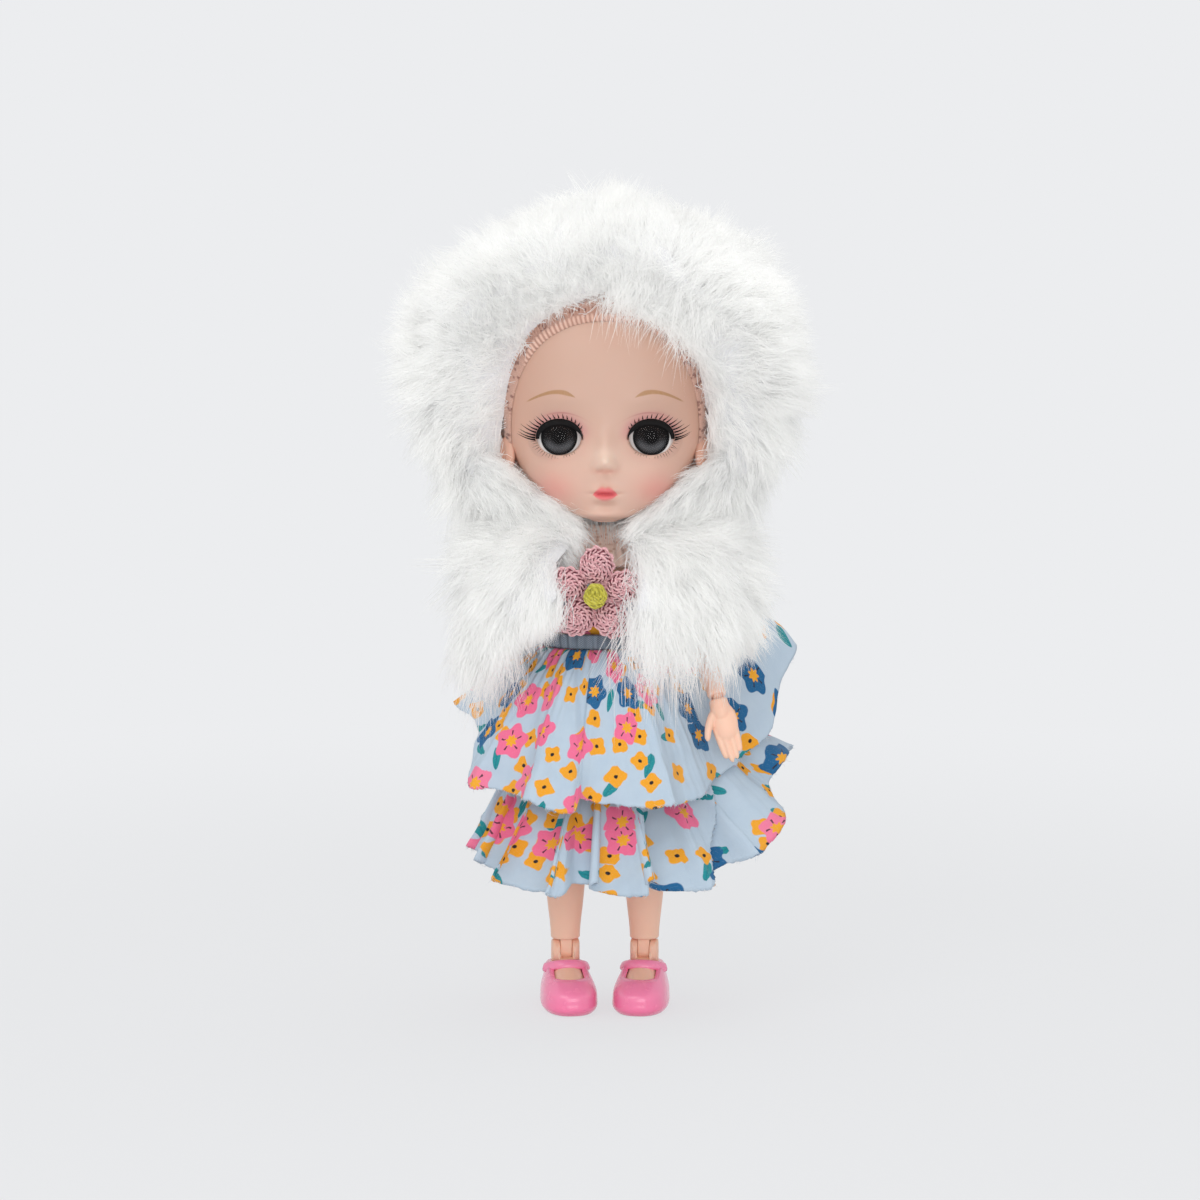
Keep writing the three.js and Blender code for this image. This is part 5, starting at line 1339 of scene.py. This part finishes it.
def makeFlower():
    # each petal: rings of yarn from its heart to its rim, domed, with stitches between them over a dark
    # sheet, a painted shade that shows through the holes
    shape, holeShade = Shape(), Shape()
    middle = np.array(flower["middle"])
    for k in range(flower["petals"]):
        lean = 2 * math.pi * k / flower["petals"] + 0.06
        outX, outZ = math.sin(lean), math.cos(lean)

        def at(turn, share, sunk=0.0):
            wide, long = flower["wide"] * share * np.cos(turn), flower["long"] * share * np.sin(turn)
            r = flower["reach"] + long
            y = sunk - flower["dome"] * (1 - share ** 2) + 0.15 * np.cos(9 * turn)
            return middle + np.stack([outX * r + outZ * wide, y, outZ * r - outX * wide], -1)

        turn = allRound(72)
        shares = np.linspace(0, 0.97, 10)[:, None] + 0 * turn
        # painted shade: a dark sheet just behind each petal
        holeShade.grid(at(turn[None], shares, 0.5), loopCols=True, outward=False)
        for share in (0.3, 0.62, 1.0):
            ripple = share * (1 + 0.05 * np.cos(11 * turn + k))
            plied(shape, at(turn, ripple), flower["yarn"], True, 1.4)
        for low, high, count in ((0.05, 0.3, 7), (0.3, 0.62, 12), (0.62, 1.0, 17)):
            for t in allRound(count) + dice.uniform(0, 0.3):
                s = np.linspace(0, 1, 9)
                path = at(t + 0.16 * np.sin(2 * math.pi * s), low + (high - low) * s)
                path[:, 1] -= 0.35 * np.sin(math.pi * s)
                shape.tube(path, flower["yarn"] * 0.55, 5)
    makePiece("crochet_petals", shape, dustyPink, "trunk", ["crochet_flower"])
    makePiece("crochet_hole_shade", holeShade, holeShadePink, "trunk", ())
    knot = Shape()
    s = np.linspace(0, 1, 360)
    wind = 2 * math.pi * 11 * s
    wound = np.stack([2.1 * np.cos(wind) * np.cos(18.6 * s), -3.0 + 0.95 * np.sin(wind) * np.sin(5 * s),
                      2.4 * np.sin(wind) * (0.75 + 0.25 * np.cos(7 * s))], -1)
    plied(knot, middle + wound, 0.42)
    knot.ball(middle + [0, -2.4, 0], (1.9, 0.9, 2.1), 14)
    makePiece("flower_knot", knot, limeYarn, "trunk", ["flower_centre"])


makeFlower()


neckNet = {"rows": 26, "cols": 240, "radius": 6.4, "low": 96.0, "tall": 8.2, "run": 46, "thick": 0.5}


def makeNeckNet():
    # the knit that shows under the chin: a soft band round the neck, its loops drawn as a net
    angle = allRound(neckNet["cols"])[None]
    s = np.linspace(0, 1, neckNet["rows"])[:, None]
    r = neckNet["radius"] + 5.0 * (1 - s) ** 1.2 + 0.25 * np.cos(40 * angle) * np.sin(math.pi * s)
    z = neckNet["low"] + neckNet["tall"] * s + 0 * angle
    p = np.stack([r * np.sin(angle) * 1.15, 1.2 - r * np.cos(angle), z], -1)
    run = np.linspace(0, neckNet["run"], neckNet["cols"] + 1)[None]
    uv = np.stack([run + 0 * s, 1.6 + 8 * s + 0 * run], -1)
    shape = Shape().grid(p, loopCols=True, uv=uv)
    made = makePiece("neck_knit", shape, paleKnit, "trunk", (), "knit")
    thicken(made, neckNet["thick"])


makeNeckNet()
print("flower made")


# Limbs: turned shapes with cups for the balls, in the places of the CAD's joints

arms = {
    "left": {"side": 1, "upper": (3.7, -3.2, -16.5), "fore": (3, -7.6, -12.2), "hand": (3.4, -3.4, -14),
             "palm": 0},
    "right": {"side": -1, "upper": (-4.4, 7.4, -15), "fore": (-2, 5.6, -13), "hand": (0.6, 3.4, -14.2),
              "palm": -122},
}
bones = {"shoulderX": 16.8, "upper": 17.3, "fore": 14.3, "hipX": 8.5, "hipY": 4.5, "thigh": 26.0,
         "shin": 24.9, "ankle": 11.6, "toeIn": 8.0}


def aimed(origin, direction):
    # the axes after the shortest turn from straight down to a direction
    turn = np.array(Vector(down).rotation_difference(Vector(direction)).to_matrix())
    return np.asarray(origin, float), turn[:, 0], turn[:, 1], turn[:, 2]


def spun(frameAt, degrees):
    # the same axes turned about their own Z
    origin, x, y, z = frameAt
    c, s = math.cos(math.radians(degrees)), math.sin(math.radians(degrees))
    return origin, x * c + y * s, y * c - x * s, z


def cupArc(radius, share, flip, height=0.0):
    # a round hollow about a joint, from the axis to the rim at a share of its radius
    t = np.linspace(0, math.acos(share), 10)
    return np.stack([radius * np.sin(t), height + flip * radius * np.cos(t)], -1)


def limbShape(frameAt, length, top, swell, bottom, cupBall, endBall):
    # a cup over one ball, a smooth outside, and a hollow over the next ball
    cup, end = cupBall + 0.3, endBall + 0.3
    rim, low = cup * 0.68, end * 0.62
    edge, foot = math.sqrt(cup ** 2 - rim ** 2), math.sqrt(end ** 2 - low ** 2)
    outer = rounded([[edge, -rim], [edge + 0.55, -rim - 0.02], [edge + 0.95, -rim - 0.35], [top, -rim - 1.7],
                     [(top + swell) / 2 + 0.1, -length * 0.3], [swell, -length * 0.45],
                     [(swell + bottom) / 2, -length * 0.68], [bottom, -length + end * 1.25],
                     [foot + 0.35, -length + low + 0.45], [foot + 0.1, -length + low]], 6)
    profile = [cupArc(cup, 0.68, -1), outer, cupArc(end, 0.62, 1, -length)[::-1]]
    return Shape().turned(np.concatenate(profile), frameAt, 56)


def pegShape(frameAt, radius, stem):
    t = np.linspace(math.pi, math.asin(stem / radius), 22)
    profile = np.stack([radius * np.sin(t), radius * np.cos(t)], -1)
    return Shape().turned(np.concatenate([profile, [[stem, radius * 2.6], [0, radius * 2.6]]]), frameAt, 36)


def handShape(shape, frameAt, side):
    # overlapping rounds: wrist, palm, four fingers that close to a point, and a thumb along the palm's edge
    s = np.linspace(0, 1, 14)[:, None]
    tipRound = np.sqrt(np.clip(1 - (np.clip(s[:, 0] - 0.86, 0, 1) / 0.15) ** 2, 0.05, 1))

    def along(start, middle, end, wide, tip):
        a, b, c = [np.array(v, float) * [side, 1, 1] for v in (start, middle, end)]
        path = (1 - s) ** 2 * a + 2 * s * (1 - s) * b + s * s * c
        radius = (wide + (tip - wide) * s[:, 0]) * tipRound
        shape.tube(inFrame(path, frameAt), radius, 14, out=frameAt[2])

    wrist = [[0, -0.3], [1.5, -0.3], [1.85, -0.5], [2.0, -1.4], [2.15, -3], [1.6, -4.6], [0, -5]]
    shape.turned(rounded(wrist, 4), frameAt, 28)
    a = np.linspace(0, math.pi, 24)[:, None]
    b = allRound(36)[None]
    palm = np.stack([side * 0.25 + 2.75 * np.sin(a) ** 0.8 * np.cos(b), 1.6 * np.sin(a) ** 0.8 * np.sin(b),
                     -5.3 + 4.1 * np.cos(a) + 0 * b], -1)
    shape.grid(inFrame(palm, frameAt), loopCols=True)
    along((-1.75, 0, -6.4), (-1.6, 0.1, -10), (-1.0, 0.75, -12.9), 0.86, 0.55)
    along((-0.5, -0.15, -6.6), (-0.4, 0, -10.4), (0.1, 0.6, -13.9), 0.88, 0.55)
    along((0.8, -0.15, -6.6), (0.95, 0, -10.2), (1.15, 0.5, -13.4), 0.86, 0.54)
    along((2.0, 0, -6.3), (2.25, 0.1, -9.4), (2.1, 0.6, -12.0), 0.8, 0.5)
    along((-1.1, -0.2, -2.9), (-3.5, -0.9, -5.0), (-4.1, -1.3, -8.6), 1.1, 0.6)


def vinylPiece(part, tag, shape, body=None, node=None):
    # a moulded part of a left or right limb, on the body and for the node that have its own name unless given
    body, node = f"{body or part}_{tag[0]}", f"{node or part}_{tag}"
    return makePiece(f"{part}_{tag}_vinyl", shape, skin, body, [node])


def makeArm(tag):
    arm = arms[tag]
    shoulder = np.array([arm["side"] * bones["shoulderX"], 0, shoulderHeight])
    elbow = shoulder + unit(np.array(arm["upper"])) * bones["upper"]
    wrist = elbow + unit(np.array(arm["fore"])) * bones["fore"]
    upper = limbShape(aimed(shoulder, arm["upper"]), bones["upper"], 2.9, 2.9, 2.5, 3.1, 2.0)
    vinylPiece("upper_arm", tag, upper)
    vinylPiece("elbow", tag, pegShape(aimed(elbow, arm["upper"]), 2.0, 1.0), "upper_arm", "elbow_peg")
    long = bones["fore"]
    outer = rounded([[1.8, -1.42], [2.15, -1.6], [2.42, -2.4], [2.52, -4], [2.5, -long * 0.42],
                     [2.2, -long * 0.68], [1.98, -long * 0.86], [1.95, -long + 0.7], [1.82, -long + 0.35],
                     [1.5, -long + 0.3]], 5)
    profile = np.concatenate([cupArc(2.3, 0.62, -1), outer, [[0, -long + 0.3]]])
    vinylPiece("forearm", tag, Shape().turned(profile, aimed(elbow, arm["fore"]), 48))
    hand = Shape()
    handShape(hand, spun(aimed(wrist, arm["hand"]), arm["palm"]), arm["side"])
    made = vinylPiece("hand", tag, hand)
    fuse = made.modifiers.new("fuse", "REMESH")
    fuse.mode, fuse.voxel_size, fuse.use_smooth_shade = "VOXEL", 0.16 * mm, True
    soft = made.modifiers.new("soften", "SMOOTH")
    soft.factor, soft.iterations = 0.5, 3


shoeRows = np.array([  # rise, half width, front and back reach, as shares of the shoe's own
    [0, 0.86, 0.9, 0.9], [0.1, 0.98, 0.985, 1], [0.28, 1, 1, 1], [0.46, 0.97, 0.965, 0.98],
    [0.62, 0.88, 0.82, 0.93], [0.8, 0.76, 0.52, 0.84], [1, 0.66, 0.3, 0.74],
])
shoe = {"half": 6.1, "front": 14.8, "back": 8.2, "tall": 10.4}


def shoeAt(angle, rise, inset):
    # a place on the shoe's last: angle 0 is the toe, rise a share of its height
    half, front, back = [share * shoe[key] - inset for key, share in zip(shoe, sectionAt(shoeRows, 0, rise))]
    x, y = ovalPoint(angle, half, front, back, 2.35)
    return np.stack([x * (1 - 0.012 * (y + 7.4)), y, rise * shoe["tall"] - bones["ankle"]], -1)


def makeShoe(tag, frameAt, body):
    # rows go under the sole, up the wall to a rolled edge that dips at the instep, and down the inside
    a = allRound(160, -math.pi)[None]
    edge = 0.68 + 0.19 * smooth(0.75, 1.3, np.abs(a)) - 0.04 * smooth(1.6, 2.8, np.abs(a))
    closed = shoe["half"] * shoeRows[0, 1]  # the inset at which the sole's two sides meet
    rows = [shoeAt(a, 0 * a, closed), shoeAt(a, 0 * a, 1.6), shoeAt(a, 0 * a + 0.004, 0.5)]
    rows += [shoeAt(a, edge * s, 0.0) for s in np.linspace(0.03, 0.94, 34)]
    for t in np.linspace(0.1, 0.95, 8) * math.pi:  # the rolled edge
        rows.append(shoeAt(a, edge * 0.94 + 0.055 * math.sin(t), 0.6 - 0.72 * math.cos(t)))
    rows += [shoeAt(a, 0.16 + (edge * 0.94 - 0.16) * s, 1.25) for s in np.linspace(0.95, 0, 12)]
    rows.append(shoeAt(a, 0 * a + 0.16, 5.8))
    shape = Shape().grid(inFrame(np.concatenate(rows).reshape(len(rows), -1, 3), frameAt), loopCols=True)
    t = np.linspace(-1, 1, 60)[:, None]  # strap: a soft flat section carried over the instep
    q = allRound(24)[None, :, None]
    turn = t * 1.22
    centre = np.stack([4.75 * np.sin(turn), 0.9 - 5.3 * np.cos(turn), -3.7 + 1.5 * np.cos(turn * 1.15)], -1)
    out = unit(np.stack([np.sin(turn), -np.cos(turn), 0.55 + 0 * turn], -1))
    up = unit(np.cross(np.gradient(centre[:, 0], axis=0)[:, None], out))
    band = centre + out * 0.66 * squarish(np.cos(q), 0.75) + up * 1.02 * squarish(np.sin(q), 0.75)
    shape.grid(inFrame(capped(band, centre[0], centre[-1]), frameAt), loopCols=True)
    makePiece(f"shoe_{tag}_vinyl", shape, pinkVinyl, body, [f"shoe_{tag}"])


def vinylFinish(name, base, shade):
    # glossy moulded vinyl: slightly uneven gloss, and a deeper tone low down, a painted shade towards the
    # floor
    paint = Finish(name)
    p = paint.places()
    _, _, z = paint.split(p)
    cloud = paint.noise(p, 0.4, 3.0)
    # painted shade: darker towards the sole
    tone = paint.blend(z.between(0.5, 7.0), shade, base)
    return paint.done(tone, 0.2 + 0.12 * cloud, paint.bump(cloud, 0.06, 0.4),
                      coatWeight=0.5, coatRoughness=0.08,
                      subsurfaceWeight=0.1, subsurfaceRadius=(1.0, 0.4, 0.5), subsurfaceScale=0.0015)


pinkVinyl = vinylFinish("pink vinyl", colour(255, 142, 182), colour(255, 126, 172))


def prong(shape, frameAt, low, high):
    # one side of the ankle's fork: the round column cut flat, its top rounded about the ankle's axis
    xs = np.array([low, low, low + 0.12, *np.linspace(low + 0.3, high - 0.25, 9), high - 0.12, high, high])
    draw = np.array([0, 0.88, 1, *np.ones(9), 0.93, 0.75, 0])[::1 if high > 0 else -1]
    far = np.sqrt(np.maximum(3.1 ** 2 - xs ** 2, 0.3))[:, None]
    q = np.linspace(-1, 1, 30)[None]
    y = far * np.sin(q * math.pi / 2)
    top = np.stack([xs[:, None] + 0 * q, y, np.sqrt(np.maximum(2.5 ** 2 - y ** 2, 0))], -1)
    foot = np.stack([xs[:, None] + 0 * q, y, -2.9 + 0 * y], -1)[:, ::-1]
    loop = np.concatenate([top, foot], 1)
    middle = np.stack([xs, 0 * xs, 0 * xs - 1.0], -1)[:, None]
    shape.grid(inFrame(middle + (loop - middle) * draw[:, None, None], frameAt), loopCols=True)


def tongue(shape, frameAt):
    # the flat tongue of the shin: a long round-ended outline between two flat cheeks with soft edges
    q = allRound(48)[None]
    y, z = 1.7 * np.cos(q), np.where(np.sin(q) < 0, 1.7 * np.sin(q), 4.0 * np.minimum(np.sin(q) * 1.6, 1))
    xs = np.array([-1.25, -1.25, -1.18, -1.0, 1.0, 1.18, 1.25, 1.25])[:, None]
    draw = np.array([0, 0.9, 0.98, 1, 1, 0.98, 0.9, 0])[:, None]
    shape.grid(inFrame(np.stack([xs + 0 * q, y * draw, z * draw], -1), frameAt), loopCols=True)


def makeLeg(side, tag):
    heights = (hipHeight, hipHeight - bones["thigh"], bones["ankle"])
    hip, knee, ankle = [np.array([side * bones["hipX"], bones["hipY"], z]) for z in heights]
    vinylPiece("thigh", tag, limbShape(aimed(hip, down), bones["thigh"], 5.2, 5.6, 4.3, 4.4, 3.0))
    vinylPiece("knee", tag, pegShape(aimed(knee, down), 3.0, 1.5), "thigh", "knee_peg")
    long, toed = bones["shin"], spun(aimed(ankle, down), -side * bones["toeIn"])
    foot = -long + 2.8
    outer = rounded([[2.6, -2.05], [3.1, -2.3], [3.9, -3.6], [4.3, -5.3], [4.3, -7.5], [4.17, -long * 0.42],
                     [3.75, -long * 0.6], [3.3, -long * 0.76], [3.12, foot + 0.8], [3.1, foot + 0.25],
                     [2.95, foot + 0.05], [2.6, foot]], 5)
    profile = np.concatenate([cupArc(3.3, 0.62, -1), outer, [[0, foot]]])
    shin = Shape().turned(profile, aimed(knee, down), 56)
    tongue(shin, toed)
    vinylPiece("shin", tag, shin)
    shape = Shape()
    prong(shape, toed, 1.3, 3.02)
    prong(shape, toed, -3.02, -1.3)
    column = [[0, -7], [3.1, -7], [3.1, -6.5], [3.1, -2.8], [3.0, -2.5], [2.7, -2.4], [0, -2.4]]
    shape.turned(rounded(column, 4), toed, 48)
    a = allRound(80, -math.pi)[None]
    rows = [shoeAt(a, 0 * a + 0.19, 6.0)] + [shoeAt(a, 0 * a + s, 1.6) for s in np.linspace(0.19, 0.98, 24)]
    rows += [shoeAt(a, 0 * a + 0.99, 2.4), shoeAt(a, 0 * a + 0.995, 3.6)]
    shape.grid(inFrame(np.concatenate(rows).reshape(len(rows), -1, 3), toed), loopCols=True)
    vinylPiece("foot", tag, shape)
    makeShoe(tag, toed, f"foot_{tag[0]}")


def makeTorso():
    # the two shells of the trunk as one surface, with the seam between them as a fine groove
    z = hipHeight + np.linspace(-0.6, 41.0, 120)[:, None]
    a = allRound(160, -math.pi)[None]
    half, front, back = sectionAt(torsoRows, hipHeight, z + 0 * a)
    x, y = ovalPoint(a, half, front, back)
    groove = 1 - 0.015 * hump((np.abs(a) - math.pi / 2) / 0.03)
    p = np.stack([x * groove, y * groove, z + 0 * a], -1)
    shape = Shape().grid(capped(p, p[0].mean(0), p[-1].mean(0)), loopCols=True)
    makePiece("torso_vinyl", shape, skin, "trunk", ["torso_front", "torso_back"])


for tag in arms:
    makeArm(tag)
    makeLeg(arms[tag]["side"], tag)
makeTorso()
print("limbs made")


# Key hardware and its sewn tab

hardware = {"tabBase": (0.0, 35.8, 151.2), "tabThick": 0.6, "hang": 40.1, "linkWire": 0.7, "linkLong": 8.4,
            "linkWide": 6.0, "upperTop": 150.92, "lowerTop": 144.52, "ringMiddle": 127.32, "ringRadius": 11.0,
            "ringWire": 0.9, "pitch": 2.3}


def steelFinish():
    # bright nickel: fine scratches along the wire in gloss only
    paint = Finish("nickel wire")
    drawn = paint.node("VectorMath", {"operation": "MULTIPLY"}, {0: paint.places(), 1: (9.0, 1.2, 1.2)})
    scratch = paint.noise(drawn, 1.0, 3.0)
    base = paint.blend(scratch, colour(196, 196, 200), colour(226, 226, 229))
    return paint.done(base, 0.16 + 0.14 * scratch, paint.bump(scratch, 0.01, 0.3), metallic=1.0)


nickel = steelFinish()


def makeHardware():
    turn = allRound(96)
    half, straight = hardware["linkWide"] / 2, hardware["linkLong"] - hardware["linkWide"]
    across = half * np.cos(turn)
    rise = half * np.sin(turn) + np.where(np.sin(turn) < -1e-6, -straight, 0) - half
    zero = 0 * turn
    upper = np.stack([across, hardware["hang"] + zero, hardware["upperTop"] + rise], -1)
    lower = np.stack([zero, hardware["hang"] + across, hardware["lowerTop"] + rise], -1)
    for tag, path, out in (("upper", upper, (0, 1, 0)), ("lower", lower, (1, 0, 0))):
        shape = Shape().tube(path, hardware["linkWire"], 16, True, out=np.array(out))
        makePiece(f"link_{tag}_wire", shape, nickel, f"link_{tag}", [f"chain_link_{tag}"])
    share = np.linspace(0, 1, 300)
    a = 4 * math.pi * share - math.pi / 2
    y = hardware["hang"] + hardware["pitch"] * (2 * share - 1)
    r = hardware["ringRadius"]
    path = np.stack([r * np.cos(a), y, hardware["ringMiddle"] + r * np.sin(a)], -1)
    coil = Shape().tube(path, hardware["ringWire"], 16, out=np.array((0, 1, 0)))
    makePiece("key_ring_wire", coil, nickel, "ring", ["key_ring"])
    x, y, z = hardware["tabBase"]  # a folded strip of knit, sewn in at the back of the hood
    bend = np.linspace(-math.pi / 2, math.pi / 2, 24)
    fold = np.stack([4.3 + 2.1 * np.cos(bend), 2.1 * np.sin(bend)], -1)
    loop = rounded(np.concatenate([[[-4.0, -2.1]], fold, [[-4.0, 2.1]]]), 3)
    across = np.linspace(-1.6, 1.6, 12)[None]
    far, high = loop[:, :1] + 0 * across, loop[:, 1:] + 0 * across
    strip = np.stack([x + across + 0 * far, y + far, z + high], -1)
    run = np.linspace(0, 14, len(loop))[:, None]
    uv = np.stack([run + 0 * across, 2.6 + across + 0 * run], -1)
    shape = Shape().grid(strip, uv=uv)
    tab = makePiece("hanging_tab_knit", shape, roseKnit, "head", ["hanging_tab"], "knit")
    thicken(tab, hardware["tabThick"], 0)


makeHardware()
print("hardware made")

for kept in nodes.values():  # the CAD nodes still in sight: vinyl, with smooth sides
    if not kept.hide_render:
        kept.data.materials.clear()
        kept.data.materials.append(skin)
        kept.modifiers.new("join", "WELD").merge_threshold = 0.01 * mm
        kept.data.polygons.foreach_set("use_smooth", np.ones(len(kept.data.polygons), bool))
